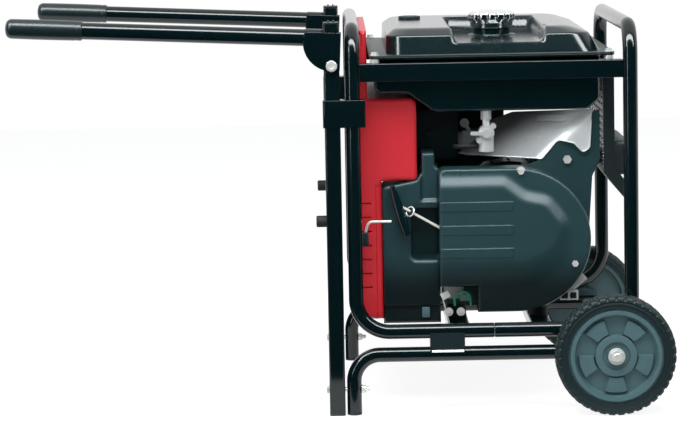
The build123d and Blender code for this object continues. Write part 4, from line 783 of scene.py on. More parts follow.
def inset(x, z, outline):
    """How far each point lies inside a closed outline; negative outside."""
    outline = np.asarray(outline, float)
    start, run = outline, np.roll(outline, -1, 0) - outline
    length = np.maximum((run**2).sum(1), 1e-18)
    px, pz = x[..., None] - start[:, 0], z[..., None] - start[:, 1]
    along = np.clip((px * run[:, 0] + pz * run[:, 1]) / length, 0, 1)
    away = np.hypot(px - along * run[:, 0], pz - along * run[:, 1]).min(-1)
    above = start[:, 1] > z[..., None]
    next_above = (start + run)[:, 1] > z[..., None]
    slope = run[:, 0] / np.where(run[:, 1] == 0, 1e-12, run[:, 1])
    crossing = (above != next_above) & (px < pz * slope)
    return np.where(crossing.sum(-1) % 2 == 1, away, -away)


def spread(low, high, marks, step):
    """Coordinates from low to high at an even step, with finer ones on both sides of each mark."""
    near = np.array([0.0, 0.0004, 0.0009, 0.0016, 0.0026, 0.004, 0.006, 0.009])
    even = np.linspace(low, high, max(2, int((high - low) / step)))
    extra = np.concatenate([m + s * near for m in (low, high, *marks) for s in (-1, 1)])
    found = np.unique(np.round(np.concatenate([even, extra]), 5))
    found = found[(found > low) & (found < high)]
    return np.concatenate([[low], found, [high]])


def relief(x, z, front, back):
    """A closed slab over a grid of (x, z): its front stands at the given Y and its back is flat."""
    count_u, count_v = x.shape
    face = np.stack([x, front, z], -1)
    index = np.arange(count_u * count_v).reshape(count_u, count_v)
    border = np.concatenate([index[:, 0], index[-1, 1:], index[-2::-1, -1], index[0, -2:0:-1]])
    points, faces = grid(face)
    rear = points[border].copy()
    rear[:, 1] = back
    start = len(points)
    behind = start + np.arange(len(border))
    walls = np.stack([border, np.roll(border, -1), np.roll(behind, -1), behind], -1)
    return np.concatenate([points, rear]), faces + [walls, behind[None]]


def edge_round(depth, radius):
    """A quarter-round: how far a face falls back near its border, from radius at the border to 0."""
    t = np.clip(1 - depth / radius, 0, 1)
    return radius * (1 - np.sqrt(1 - t * t))


def hex_bolt(radius, height, washer=0.0, washer_height=0.0015):
    """A hexagonal head whose top corners are cut by a cone, on a round washer; it stands along +Z."""
    count = 96
    a = np.linspace(0, 2 * np.pi, count, endpoint=False)
    flat = radius * np.cos(np.pi / 6) / np.cos((a + np.pi / 6) % (np.pi / 3) - np.pi / 6)
    top = np.minimum(flat, 0.93 * radius)
    base = washer_height if washer else 0.0
    levels = [(flat, base), (flat, base + 0.72 * height), (top, base + height)]
    levels += [(0.55 * top, base + height), (0.5 * top, base + 0.86 * height)]
    loops = [np.stack([r * np.cos(a), r * np.sin(a), np.full(count, z)], -1) for r, z in levels]
    shells = [rings(loops)]
    if washer:
        ring = [(0.3 * washer, 0.0), (washer - 0.0004, 0.0), (washer, 0.0004), (washer, base - 0.0004)]
        ring += [(washer - 0.0005, base), (0.3 * washer, base)]
        shells.append(revolve(ring, 64, closed=True))
    return join(*shells)


def block(size, at, radius=0.0012, turn=0.0):
    """A small box with rounded upright edges and soft ends, turned about its depth axis."""
    c, s = math.cos(turn), math.sin(turn)
    shell = prism(rounded_rectangle(size[0], size[2], radius, 5), -size[1] / 2, size[1] / 2, radius * 0.6, 2)
    return place(shell, at, (c, 0, s), (-s, 0, c), (0, -1, 0))


def make_shroud():
    """A slab with one round end. Over (x, z) its face is a broad flat with a soft border, a raised panel
    whose top edge falls in an S-curve, and three low bars that start at the square end."""
    low, high = box_of("blower_shroud")
    crank = middle("crankshaft")
    half_x, half_z = (high[0] - low[0]) / 2, (high[2] - low[2]) / 2
    cx, cz = low[0] + half_x, low[2] + half_z
    notch_x, notch_z = low[0] + 0.072, low[2] + 0.05
    bars = [crank[2] + rise for rise in (0.046, 0.001, -0.043)]
    bar_edges = [b + s * 0.0095 for b in bars for s in (-1, 1)]
    z = spread(low[2], high[2], [notch_z - 0.00005, notch_z + 0.00005, *bar_edges], 0.003)
    top_corner = np.clip(z - (high[2] - SHROUD_CORNER), 0, SHROUD_CORNER)
    corner_x = low[0] + SHROUD_CORNER - np.sqrt(SHROUD_CORNER**2 - top_corner**2)
    left = np.where(z < notch_z, notch_x, corner_x)
    right = cx + half_x * np.sqrt(np.clip(1 - ((z - cz) / half_z) ** 2, 0, 1))
    u = spread(0.0, half_x, [0.018, 0.1325], 0.003) / half_x
    flat = left + (cx - left) * u[:, None]
    from_end = spread(0.0, half_x, [0.018], 0.003)[:-1][::-1, None]
    bulge = cx + (right - cx) * (1 - from_end / half_x)
    x = np.concatenate([flat, bulge])
    z = z + 0 * x
    turn = np.linspace(np.pi / 2, -np.pi / 2, 90)
    outline = np.concatenate([
        [
            (low[0], high[2] - SHROUD_CORNER), (low[0] + 0.0035, high[2] - 0.0035),
            (low[0] + SHROUD_CORNER, high[2]),
        ],
        np.stack([cx + half_x * np.cos(turn), cz + half_z * np.sin(turn)], -1),
        [(notch_x, low[2]), (notch_x, notch_z), (low[0], notch_z)],
    ])
    depth = np.maximum(inset(x, z, outline), 0)
    ahead = 0.29 + 0 * x - edge_round(depth, 0.006)
    panel = [(-0.2, 0.1), (-0.022, 0.1), (0.018, 0.07), (0.06, 0.062), (0.102, 0.01), (0.094, -0.052)]
    panel += [(0.03, -0.098), (-0.2, -0.098)]
    panel = rounded(crank[[0, 2]] + np.array(panel), [0.03, 0.035, 0.04, 0.05, 0.045, 0.05])
    soft = 0.031 + 0.03 * smooth(crank[2] + 0.01 - z, 0, 0.07)
    raised = smooth(inset(x, z, panel), -0.3 * soft, 0.7 * soft)
    ahead = ahead + 0.0132 * raised
    for bar in bars:
        slot = rounded_rectangle(0.2, 0.019, 0.004, 6) + (low[0] + 0.141 - 0.1, bar)
        ahead = ahead + 0.0016 * smooth(inset(x, z, slot), 0, 0.0014)
    step = smooth(x - (low[0] + 0.004), 0, 0.0012)
    ahead = ahead - 0.0012 * (1 - step) * raised
    shell = relief(x, z, -ahead, high[1])
    ribs = []
    for rib_x in (0.041, 0.062):
        rib = prism(rounded_rectangle(0.003, 0.018, 0.0012, 4), 0, 0.012, 0.0008, 2)
        ribs.append(place(rib, (low[0] + rib_x, -0.279, high[2] - 0.0125), *FACING_SIDE))
    piece("Shroud", join(shell, *ribs), "frame", "shroud_nylon", ["blower_shroud"], 28)


def make_housing():
    """The blower housing is a flanged plate behind the shroud, rising to a bracket ear on the right."""
    low, high = box_of("blower_housing")
    shroud_low, shroud_high = box_of("blower_shroud")
    crank = middle("crankshaft")
    front = hoop_line()
    half_x, half_z = (shroud_high[0] - shroud_low[0]) / 2, (shroud_high[2] - shroud_low[2]) / 2
    cx, cz = shroud_low[0] + half_x, shroud_low[2] + half_z
    turn = np.linspace(-math.radians(2), -np.pi / 2, 50)
    round_side = np.stack([cx + half_x * np.cos(turn), cz + half_z * np.sin(turn)], -1)
    ear = rounded(
        [
            (cx + 0.02, cz + half_z - 0.002), (front + 0.362, crank[2] + 0.127),
            (front + 0.394, crank[2] + 0.164), (front + 0.44, crank[2] + 0.21), (high[0], high[2]),
            (high[0], crank[2] + 0.125), (front + 0.458, crank[2] + 0.093), (front + 0.456, crank[2] + 0.061),
            round_side[0],
        ],
        [0.003, 0.02, 0.02, 0.003, 0.006, 0.004, 0.003], 0.12,
    )
    notch = (shroud_low[0] + 0.072, shroud_low[2] + 0.05)
    outline = np.concatenate([
        ear, round_side[1:], [(notch[0], shroud_low[2]), notch, (shroud_low[0], notch[1])],
        [(shroud_low[0], shroud_high[2] - SHROUD_CORNER), (shroud_low[0] + SHROUD_CORNER, shroud_high[2])],
    ])
    plate = prism(outline, -high[1], -low[1], 0.0012, 3)
    shells = [place(plate, (0, 0, 0), *FACING_SIDE)]
    turn = turn[:-8]
    flange_x, flange_z = cx + (half_x - 0.002) * np.cos(turn), cz + (half_z - 0.002) * np.sin(turn)
    flange = np.stack([flange_x, np.full(len(turn), low[1] + 0.003), flange_z], -1)
    shells.append(tube(flange, 0.0038, 14, 0.001))
    piece("BlowerHousing", join(*shells), "frame", "shroud_nylon", ["blower_housing"], 30)


def make_heat_shield():
    """A bright sheet cut to one outline, set back beyond a long soft crease, with a rolled lower edge."""
    low, high = box_of("heat_shield")
    front, rise = hoop_line(), middle("crankshaft")[2]
    bottom = [(0.201, 0.141), (0.28, 0.134), (0.361, 0.128), (0.393, 0.165), (0.423, 0.158), (0.44, 0.14)]
    bottom = np.array(bottom + [(0.4525, 0.148), (0.456, 0.203)]) + (front, rise)
    top = np.array([(0.459, 0.222), (0.306, 0.219), (0.257, 0.201), (0.235, 0.168)]) + (front, rise)
    count = 160
    lower = rounded(bottom, [0.02, 0.006, 0.014, 0.012, 0.006, 0.01], 0.1)
    upper = rounded([bottom[0], top[3], top[2], top[1], top[0]], [0.02, 0.02, 0.02], 0.1)

    def even(path):
        run = np.concatenate([[0], np.cumsum(np.linalg.norm(np.diff(path, axis=0), axis=1))])
        return np.stack([np.interp(np.linspace(0, run[-1], count), run, path[:, k]) for k in (0, 1)], -1)

    lower, upper = even(lower), even(upper)
    across = np.linspace(0, 1, 26)[None, :, None]
    at = lower[:, None] * (1 - across) + upper[:, None] * across
    x, z = at[..., 0], at[..., 1]
    crease = ((z - rise - 0.174) - (x - front - 0.407)) * 0.707
    bow = 0.002 * np.sin((x - low[0]) * 26) ** 2 - 0.014 * smooth(crease, -0.016, 0.016)
    wall = high[1] - low[1]
    front_y = high[1] - wall - bow
    sheet = np.stack([np.stack([x, front_y, z], -1), np.stack([x, front_y + wall * 0.6, z], -1)])
    near, far = grid(sheet[0]), grid(sheet[1])
    border = np.concatenate(
        [sheet[:, :, 0], sheet[:, -1, 1:], sheet[:, ::-1, -1][:, 1:], sheet[:, 0, ::-1][:, 1:-1]], 1,
    )
    rim = grid(border, wrap_v=True)
    hem = tube(np.column_stack([lower[:, 0], front_y[:, 0] - 0.0004, lower[:, 1]]), 0.0013, 12, 0.0004)
    tab = [(0, 0), (0.054, -0.002), (0.06, 0.009), (0.004, 0.011), (0, 0)]
    tab = prism(rounded(tab, [0.002, 0.002, 0.002], 0.4)[:-1], 0, 0.0015, 0.0004, 2)
    tab = place(tab, (front + 0.35, low[1] - 0.004, rise + 0.203), *FACING_SIDE)
    piece(
        "HeatShield", join(near, far, rim, hem, tab), "frame", "shield_sheet", ["heat_shield"],
        40,
    )


def make_lower_cover():
    """A deep box seen from the side. Its top is a slope and a neck, its face has soft borders and a sunken
    pocket for the rope that is open towards the shroud, and a low step runs down its right part."""
    low, high = box_of("lower_cover")
    front, rise = hoop_line(), middle("crankshaft")[2]
    low, high = low - (0.0024, 0, 0.0035), high + (0.0022, 0, 0)
    outline = rounded(
        [
            (high[0], rise), (high[0], low[2]), (low[0], low[2]), (low[0], rise + 0.082),
            (front + 0.118, rise + 0.094), (front + 0.13, rise + 0.108), (front + 0.13, rise + 0.146),
            (high[0] - 0.008, rise + 0.146), (high[0] - 0.008, rise + 0.122), (high[0], rise + 0.114),
            (high[0], rise),
        ],
        [0.003, 0.008, 0.01, 0.01, 0.008, 0.004, 0.004, 0.003, 0.002],
    )[:-1]
    pocket_left, pocket_low, pocket_high = front + 0.108, rise - 0.058, rise + 0.04
    body_top = rise + 0.06
    fixed = spread(low[2], body_top, [pocket_low, pocket_high, low[2] + 0.036], 0.004)
    over = spread(0.0, 0.08, [], 0.003)[1:] / 0.08
    x = spread(low[0], high[0], [pocket_left, front + 0.12, front + 0.13, high[0] - 0.008], 0.0025)
    levels = np.linspace(body_top, high[2] + 0.002, 2000)
    inside = inset(x[:, None] + 0 * levels, levels + 0 * x[:, None], outline) > 0
    inside[:, 0] = True
    top = np.where(inside, levels, body_top).max(1)
    z = np.concatenate([fixed + 0 * x[:, None], body_top + (top - body_top)[:, None] * over], 1)
    x = x[:, None] + 0 * z
    depth = np.maximum(inset(x, z, outline), 0)
    ahead = -low[1] - edge_round(depth, 0.007)
    pocket = rounded_rectangle(0.2, pocket_high - pocket_low, 0.012, 8)
    pocket = pocket + (pocket_left + 0.1, (pocket_low + pocket_high) / 2)
    within = inset(x, z, pocket)
    ahead = ahead - 0.0035 * smooth(within, -0.009, -0.001) - 0.056 * smooth(within, -0.0008, 0.003)
    seam = np.abs(x - (front + 0.128)) < 0.0012
    ahead = ahead - 0.0016 * seam * (z > pocket_high + 0.012)
    shade = smooth(x, front + 0.124, front + 0.134) * smooth(z - pocket_high, 0.01, 0.02)
    ahead = ahead - 0.006 * shade
    ahead = ahead - 0.005 * (1 - smooth(z, low[2] + 0.034, low[2] + 0.038))
    shell = relief(x, z, -ahead, high[1])
    piece("LowerCover", shell, "frame", "shroud_nylon", ["lower_cover"], 30)


def make_rope_guide():
    """The rope's eye: a bright ring held askew over a dark grommet on the rope's line. The hook is a bent rod
    in a block on the frame."""
    touch, along = rope_line()
    crank_z = middle("crankshaft")[2]
    at = touch + along * (ROPE_REACH - 0.03)
    across = np.array([0.0, 1.0, 0.0])
    seat = revolve(
        [
            (0.0038, -0.003), (0.0078, -0.003), (0.009, -0.0015), (0.009, 0.0015), (0.0078, 0.003),
            (0.0038, 0.003),
        ],
        48, closed=True,
    )
    seat = place(seat, at, across, np.cross(along, across), along)
    axis = along - across * 0.9
    axis /= np.linalg.norm(axis)
    level = np.cross(axis, (0, 0, 1))
    level /= np.linalg.norm(level)
    turn = np.radians(np.linspace(-172, 172, 60))[:, None]
    ring = at + axis * 0.004 + 0.0092 * (np.cos(turn) * np.cross(level, axis) + np.sin(turn) * level)
    front, hook_y = hoop_line(), corner("rope_guide", 0)[1] + 0.012
    hook = ((0.02, -0.004), (0.026, 0.02), (0.07, 0.02))
    rod = [(front + run, hook_y, crank_z + rise) for run, rise in hook]
    stay = tube(rounded(rod, [0.01], 0.1), 0.0025, 16, 0.0006)
    foot = block(
        (0.012, 0.0158, 0.026), (corner("rope_guide", 0)[0] + 0.006, hook_y - 0.004, crank_z - 0.013), 0.0018,
    )
    stands_for = ["rope_guide"]
    piece(
        "StarterEye", join(tube(ring, 0.0015, 14, 0.0005), stay), "frame", "zinc_plate", stands_for,
    )
    piece("EyeSeat", join(seat, foot), "frame", "moulded_black", stands_for)


# ---- Posts, handles and their fittings ----


GRIP_END = 0.012


def pivot_of(side):
    """A handle's pivot, the way its tube points, and up across the tube."""
    low, high = box_of(f"handle_bracket_{side}")
    joint = next(j for j in frame["record"]["behaviour"]["joints"] if j["name"] == f"handle_{side}_fold")
    tilt = math.radians(bpy.context.scene.generator_handle.tilt)
    along = np.array([-math.cos(tilt), 0, math.sin(tilt)])
    up = np.array([math.sin(tilt), 0, math.cos(tilt)])
    at = np.array(joint["pos_m"], float)
    at[1] = (low[1] + high[1]) / 2
    return at, along, up


def make_handles():
    """Each handle is a long tube, a grip with soft ends and a swelling in the middle, and a bracket of two
    cheeks joined by a web that the tube stands in."""
    settings = bpy.context.scene.generator_handle
    for side in ("right", "left"):
        pivot, along, up = pivot_of(side)
        body = f"handle_{side}"
        low, high = box_of(f"handle_tube_{side}")
        grip_low, grip_high = box_of(f"handle_grip_{side}")
        line = pivot + up * settings.offset
        start = (line[0] - high[0]) / -along[0] + 0.0009
        reach = (line[0] - grip_low[0]) / -along[0] - 0.001
        grip_start = reach - settings.grip_length
        r = (high[1] - low[1]) / 2
        shell = tube([line + along * s for s in np.linspace(start, reach - 0.014, 12)], r, 48, 0.001)
        piece(f"HandleTube.{side}", shell, body, "frame_enamel", [f"handle_tube_{side}"])
        grip_r = (grip_high[1] - grip_low[1]) / 2
        length, end = settings.grip_length, GRIP_END
        last = length - end * np.cos(np.linspace(0, np.pi / 2, 12))
        s = np.concatenate([np.linspace(0, end, 10), np.linspace(0.014, length - 0.014, 60), last])
        swell = grip_r - 0.0006 + 0.0006 * np.sin(np.pi * s / length)
        mouth = 0.0028 * (1 - np.sqrt(np.clip(1 - ((0.004 - np.clip(s, 0, 0.004)) / 0.004) ** 2, 0, 1)))
        tail = np.clip(s - (length - end), 0, end)
        round_end = end - np.sqrt(np.clip(end**2 - tail**2, 0, None))
        band = 0.0007 * smooth(0.0016 - np.abs(s - 0.011), 0, 0.0012)
        radii = swell - mouth - round_end - band
        grip = tube([line + along * (grip_start + d) for d in s], radii, 56)
        piece(f"Grip.{side}", grip, body, "grip_vinyl", [f"handle_grip_{side}"], 50)
        make_bracket(side, pivot, along, up)


def make_bracket(side, pivot, along, up):
    """Two cheeks, each a disc cut off level at top and bottom, and a bridge between them under the tube."""
    settings = bpy.context.scene.generator_handle
    low, high = box_of(f"handle_bracket_{side}")
    outer = (high[1] - low[1]) / 2
    wall = settings.cheek
    turn = np.linspace(0, 2 * np.pi, 240)
    radius, rise = settings.bracket_radius, settings.offset - 0.006
    disc = np.stack([radius * np.cos(turn), rise + radius * np.sin(turn)], -1)
    disc = np.clip(disc, (-0.016, -0.0118), (0.0545, 0.0625))
    keep = np.linalg.norm(np.roll(disc, -1, 0) - disc, axis=1) > 1e-7
    disc = disc[keep]
    foot = np.stack([0.016 * np.cos(turn[:-1]), 0.016 * np.sin(turn[:-1])], -1)
    across = np.cross(along, up)
    shells = []
    for near in (-outer, outer - wall):
        lobe = prism(foot, near + 0.0002, near + wall - 0.0002, 0.0008, 3)
        for shell in (prism(disc, near, near + wall, 0.0009, 3), lobe):
            shells.append(place(shell, pivot, along, up, across))
    bridge = rounded_rectangle(0.032, 0.022, 0.003, 5) + (0.034, 0.0305)
    shells.append(place(prism(bridge, -outer + wall, outer - wall, 0.0004, 2), pivot, along, up, across))
    saddle = [pivot + up * settings.offset + along * d for d in (0.018, 0.02, 0.05, 0.052)]
    shells.append(tube(saddle, [0.0166, 0.0172, 0.0172, 0.0166], 48))
    piece(
        f"Bracket.{side}", join(*shells), f"handle_{side}", "frame_enamel", [f"handle_bracket_{side}"],
        30,
    )


def make_posts():
    """Square posts with rounded corners, their ribbed caps, and clamps that wrap post and hoop."""
    low, high = box_of("handle_posts")
    width = high[0] - low[0]
    x = (low[0] + high[0]) / 2
    sides = (low[1] + width / 2, high[1] - width / 2)
    section = rounded_rectangle(width, width, 0.0045, 8)
    shells = [place(prism(section, low[2], high[2], 0.0006, 2), (x, y, 0)) for y in sides]
    piece("Posts", join(*shells), "frame", "frame_enamel", ["handle_posts"])
    caps = []
    cap_low, cap_high = box_of("tube_caps")
    leg_low, leg_high = box_of("leg_tubes")
    leg_x, leg_z = leg_low[0] + TUBE_RADIUS, leg_high[2] - TUBE_RADIUS
    leg_circle = circle(TUBE_RADIUS, 48)
    for y in sides:
        caps.append(place(prism(section, high[2], high[2] + 0.004, 0.0012, 3), (x, y, 0)))
        for rib in (-0.005, 0.005):
            bar = prism(rounded_rectangle(0.003, width - 0.008, 0.0014, 5), 0.0, 0.0031, 0.0008, 2)
            caps.append(place(bar, (x + rib, y, high[2] + 0.0038)))
        caps.append(place(prism(section, cap_low[2], low[2], 0.001, 3), (x, y, 0)))
        foot, end = (cap_low[2], leg_low[2], 0.0009, 3), (leg_high[0], cap_high[0], 0.0014, 3)
        caps.append(place(prism(leg_circle, *foot), (leg_x, y, 0)))
        caps.append(place(prism(leg_circle, *end), (0, y, leg_z), (0, 1, 0), (0, 0, 1), (1, 0, 0)))
    piece("TubeCaps", join(*caps), "frame", "moulded_black", ["tube_caps"])
    clamp_low, clamp_high = box_of("post_clamps")
    hoop_x = hoop_line()
    clamps = []
    for y in sides:
        body = rounded_rectangle(clamp_high[0] - clamp_low[0], 0.036, 0.0045, 7)
        body = body + ((clamp_low[0] + clamp_high[0]) / 2, 0)
        waist = 0.0016 * np.exp(-(((body[:, 0] - centre_of(x, hoop_x) - 0.002) / 0.004) ** 2))
        body = np.stack([body[:, 0], body[:, 1] - np.sign(body[:, 1]) * waist], -1)
        clamps.append(place(prism(body, clamp_low[2], clamp_high[2], 0.0012, 3), (0, y, 0)))
        for rise in (0.013, 0.039):
            head = hex_bolt(0.0055, 0.004, 0.0062)
            for face in (-1, 1):
                at = (centre_of(x, hoop_x) + 0.001, y + face * 0.0174, clamp_low[2] + rise)
                clamps.append(place(head, at, (-1, 0, 0), (0, 0, 1), (0, 1, 0)))
    piece("Clamps", join(*clamps), "frame", "frame_enamel", ["post_clamps"])


def make_fasteners():
    """Pivot bolts and nuts with washers, wing nuts on the leg bolts, and the axle's washers and nuts."""
    shells = []
    for side, sign in (("right", -1), ("left", 1)):
        pivot = pivot_of(side)[0]
        low, high = box_of(f"handle_bracket_{side}")
        for face, rise in ((sign, 0.0064), (-sign, 0.008)):
            at = (pivot[0], high[1] if face > 0 else low[1], pivot[2])
            bolt = hex_bolt(0.0092, rise, 0.0105, 0.0018)
            shells.append(place(bolt, at, (face, 0, 0), (0, 0, 1), (0, face, 0)))
        tip = pivot[1] - sign * ((high[1] - low[1]) / 2 + 0.0095)
        stud = [(pivot[0], tip - sign * run, pivot[2]) for run in (0, 0.001, 0.0025, 0.0028)]
        shells.append(tube(stud, [0.0048, 0.0048, 0.0048, 0.004], 32))
    post_low, post_high = box_of("handle_posts")
    leg = corner("leg_tubes", 0)[0] + 0.028
    bolt_z = 0.049
    for y in (post_low[1] + 0.015, post_high[1] - 0.015):
        head = hex_bolt(0.0075, 0.0052)
        shells.append(place(head, (post_low[0] - 0.0001, y, bolt_z), (0, 1, 0), (0, 0, 1), (-1, 0, 0)))
        run = [(x, y, bolt_z) for x in (post_low[0] - 0.001, leg, leg + 0.0145, leg + 0.0158)]
        rod = tube(run, [0.004, 0.004, 0.004, 0.0033], 24)
        hub = revolve(
            [(0.0, 0.0), (0.008, 0.0), (0.0078, 0.0035), (0.0068, 0.0078), (0.0062, 0.0082), (0.0, 0.0082)],
            40,
        )
        shells.append(rod)
        shells.append(place(hub, (leg + 0.0002, y, bolt_z), (0, 1, 0), (0, 0, 1), (1, 0, 0)))
        for wing in (-1, 1):
            blade = [(0.002, 0.004), (0.007, 0.019), (0.0165, 0.019), (0.009, 0.004), (0.002, 0.004)]
            blade = rounded(blade, [0.004, 0.0045, 0.002], 0.3)[:-1]
            blade = prism(blade * (1, wing), -0.0015, 0.0015, 0.0009, 3)
            shells.append(place(blade, (leg + 0.0002, y, bolt_z)))
    axle = middle("axle")
    for side, sign in (("right", -1), ("left", 1)):
        wheel = corner(f"tyre_{side}", 0 if sign < 0 else 1)[1]
        at = np.array([axle[0], wheel + sign * 0.0003, axle[2]])
        washer = revolve(
            [
                (0.0081, 0.0), (0.0155, 0.0), (0.016, 0.0005), (0.016, 0.0025), (0.0155, 0.003),
                (0.0081, 0.003),
            ],
            64, closed=True,
        )
        axes = ((-sign, 0, 0), (0, 0, 1), (0, sign, 0))
        shells.append(place(washer, at, *axes))
        shells.append(place(hex_bolt(0.0128, 0.0078), at + (0, sign * 0.0031, 0), *axes))
    piece("Fasteners", join(*shells), "frame", "zinc_plate", ["frame_fasteners"], 30)


# ---- Red housing, guard and wiring ----


def make_panel_housing():
    """A shallow pan with a deeper box behind it, soft at both sides, with louvres up each side face and a
    rim round the panel face."""
    settings = bpy.context.scene.generator_panel
    low, high = box_of("panel_housing")
    face_low, face_high = box_of("panel_face")
    start = low[0] + settings.rim
    deep, thin = low[0] + settings.depth, low[0] + settings.strip
    notch_x, notch_z = hoop_line() + 0.015, corner("front_hoop", 1)[2] - 0.044
    bend = 0.048 - settings.rim
    outline = rounded(
        [
            (start, low[2] + 0.2), (start, low[2]), (deep, low[2]), (deep, settings.box_bottom),
            (high[0], settings.box_bottom), (high[0], settings.box_top), (thin, settings.box_top),
            (thin, high[2]), (notch_x, high[2]), (notch_x, notch_z), (start, notch_z), (start, low[2] + 0.2),
        ],
        [bend, 0.004, 0.006, 0.008, 0.014, 0.006, 0.003, 0.003, 0.002, 0.003], 0.12,
    )[:-1]
    levels = [settings.box_bottom, settings.box_top, notch_z]
    slots = [low[2] + 0.062 + 0.027 * k for k in range(settings.louvres)]
    marks = [level + nudge for level in levels for nudge in (-0.00005, 0.00005)]
    z = spread(low[2], high[2], marks + [s + e for s in slots for e in (-0.0018, 0.0018)], 0.0035)
    fall = np.clip(bend - (z - low[2]), 0, bend)
    left = np.where(z > notch_z, notch_x, start + bend - np.sqrt(bend**2 - fall**2))
    lower_turn = np.clip(settings.box_bottom + 0.008 - z, 0, 0.008)
    upper_turn = np.clip(z - (settings.box_top - 0.014), 0, 0.014)
    lower_corner = 0.008 - np.sqrt(0.008**2 - lower_turn**2)
    upper_corner = 0.014 - np.sqrt(0.014**2 - upper_turn**2)
    box_end = high[0] - lower_corner - upper_corner
    inside_box = (z > settings.box_bottom) & (z < settings.box_top)
    right = np.where(inside_box, box_end, np.where(z < settings.box_bottom, deep, thin))
    u = spread(0.0, 1.0, [], 0.02)
    near = np.array([0.0, 0.008, 0.02, 0.035, 0.055, 0.08, 0.11])
    u = np.unique(np.round(np.concatenate([u, near, 1 - near]), 4))
    x = left + (right - left) * u[:, None]
    z = z + 0 * x
    depth = np.maximum(inset(x, z, outline), 0)
    ahead = high[1] - edge_round(depth, settings.edge)
    for level in slots:
        across = smooth(x, low[0] + 0.014, low[0] + 0.0155) * (1 - smooth(x, low[0] + 0.0385, low[0] + 0.04))
        ahead = ahead - 0.006 * across * (1 - smooth(np.abs(z - level), 0.0009, 0.0019))
    step = smooth(settings.box_bottom - 0.004 - z, 0, 0.006) * smooth(x, deep - 0.013, deep - 0.011)
    ahead = ahead - 0.0035 * step
    side = relief(x, z, -ahead, 0.0)
    mirrored = (side[0] * (1, -1, 1), side[1])
    width, height = face_high[1] - face_low[1] + 0.0006, face_high[2] - face_low[2] + 0.0006
    window = rounded_rectangle(width, height, 0.008, 10)
    outer = rounded_rectangle(high[1] - low[1], notch_z - low[2] - 0.022, 0.02, 10)
    window = window + (0, (face_low[2] + face_high[2]) / 2)
    outer = outer + (0, (notch_z + low[2] + 0.022) / 2)
    slim = outer * (0.994, 1)
    sections = [(window, 0.0), (window, settings.rim), (outer, settings.rim), (outer, 0.003), (slim, 0.0)]
    loops = np.stack([np.column_stack([np.full(len(ring), low[0] + run), ring]) for ring, run in sections])
    rim = grid(loops, wrap_u=True, wrap_v=True)
    piece(
        "PanelHousing", join(side, mirrored, rim), "frame", "panel_red", ["panel_housing"], 30,
    )


def make_bead_rows():
    """Two rows of pressed beads on the guard's sheet: each is a short half-round that lies across it."""
    guard_y, pitch = corner("muffler_guard", 0)[1], 0.0062
    sheet, proud = 0.4805, 0.002
    x = hoop_line() + sheet + proud
    shells = []
    for row, (start, stop) in enumerate(((0.458, 0.632), (0.463, 0.585))):
        for height in np.arange(start, stop, pitch):
            y = guard_y + 0.0075 + 0.0085 * row
            line = [(x - 0.0012, y + d, height) for d in (-0.003, -0.002, 0.002, 0.003)]
            shells.append(tube(line, [0.0012, 0.0024, 0.0024, 0.0012], 14))
    piece("GuardBeads", join(*shells), "frame", "bead_metal", (), 40)


def make_wiring():
    """The connectors at the engine's foot: pale housings with dark cavities, a bracket and two lugs."""
    y = corner("ground_wire", 0)[1]
    pale = [
        block((0.017, 0.012, 0.013), (0.196, y + 0.002, 0.219), 0.0018, 0.5),
        block((0.036, 0.014, 0.0185), (0.4335, y + 0.012, 0.2135), 0.0016),
    ]
    # Painted shade: dark blocks stand proud of the pale front where its shaded openings would be.
    cavity_shade = [
        block((0.0122, 0.003, 0.0115), (0.4335 + d, y + 0.0045, 0.2135), 0.001) for d in (-0.0082, 0.0082)
    ]
    grey = [
        block((0.021, 0.012, 0.0125), (0.2345, y + 0.009, 0.213), 0.0014),
        block((0.015, 0.012, 0.02), (0.1585, y + 0.008, 0.186), 0.0016),
    ]
    lugs = []
    for x, z in ((0.2023, 0.187), (0.2253, 0.187)):
        ring = revolve(
            [(0.0022, 0.0), (0.0078, 0.0), (0.0082, 0.0006), (0.008, 0.0019), (0.0022, 0.0019)], 40,
            closed=True,
        )
        lugs.append(place(ring, (x, y - 0.002, z), *FACING_SIDE))
        lugs.append(place(hex_bolt(0.0034, 0.0026), (x, y - 0.0035, z), *FACING_SIDE))
    bracket = [block((0.046, 0.002, 0.017), (0.447, y + 0.022, 0.2345), 0.001, 0.7)]
    piece("ConnectorsPale", join(*pale), "frame", "pale_nylon", ())
    piece("ConnectorCavityShade", join(*cavity_shade), "frame", "moulded_black", ())
    piece("ConnectorsGrey", join(*grey), "frame", "rim_nylon", ())
    piece("WireLugs", join(*lugs, *bracket), "frame", "zinc_plate", ())


# ---- Stage ----


def lamp(name, size, place_at, aim, power):
    """An area lamp that faces a point and lights the object without a highlight."""
    data = bpy.data.lights.new(name, "AREA")
    data.shape, data.size, data.size_y = "RECTANGLE", size[0], size[1]
    data.energy = power
    obj = new_object(name, data)
    obj.location = place_at
    obj.rotation_euler = (Vector(aim) - Vector(place_at)).to_track_quat("-Z", "Y").to_euler()
    obj.visible_glossy = False


def plain_emission(name, colour, strength):
    """A surface that only gives out an even light."""
    made = bpy.data.materials.new(name)
    nodes, links = cleared(made)
    out = nodes.new("ShaderNodeOutputMaterial")
    glow = add_node(nodes, "ShaderNodeEmission", Color=(*colour, 1), Strength=strength)
    links.new(glow.outputs[0], out.inputs["Surface"])
    return made


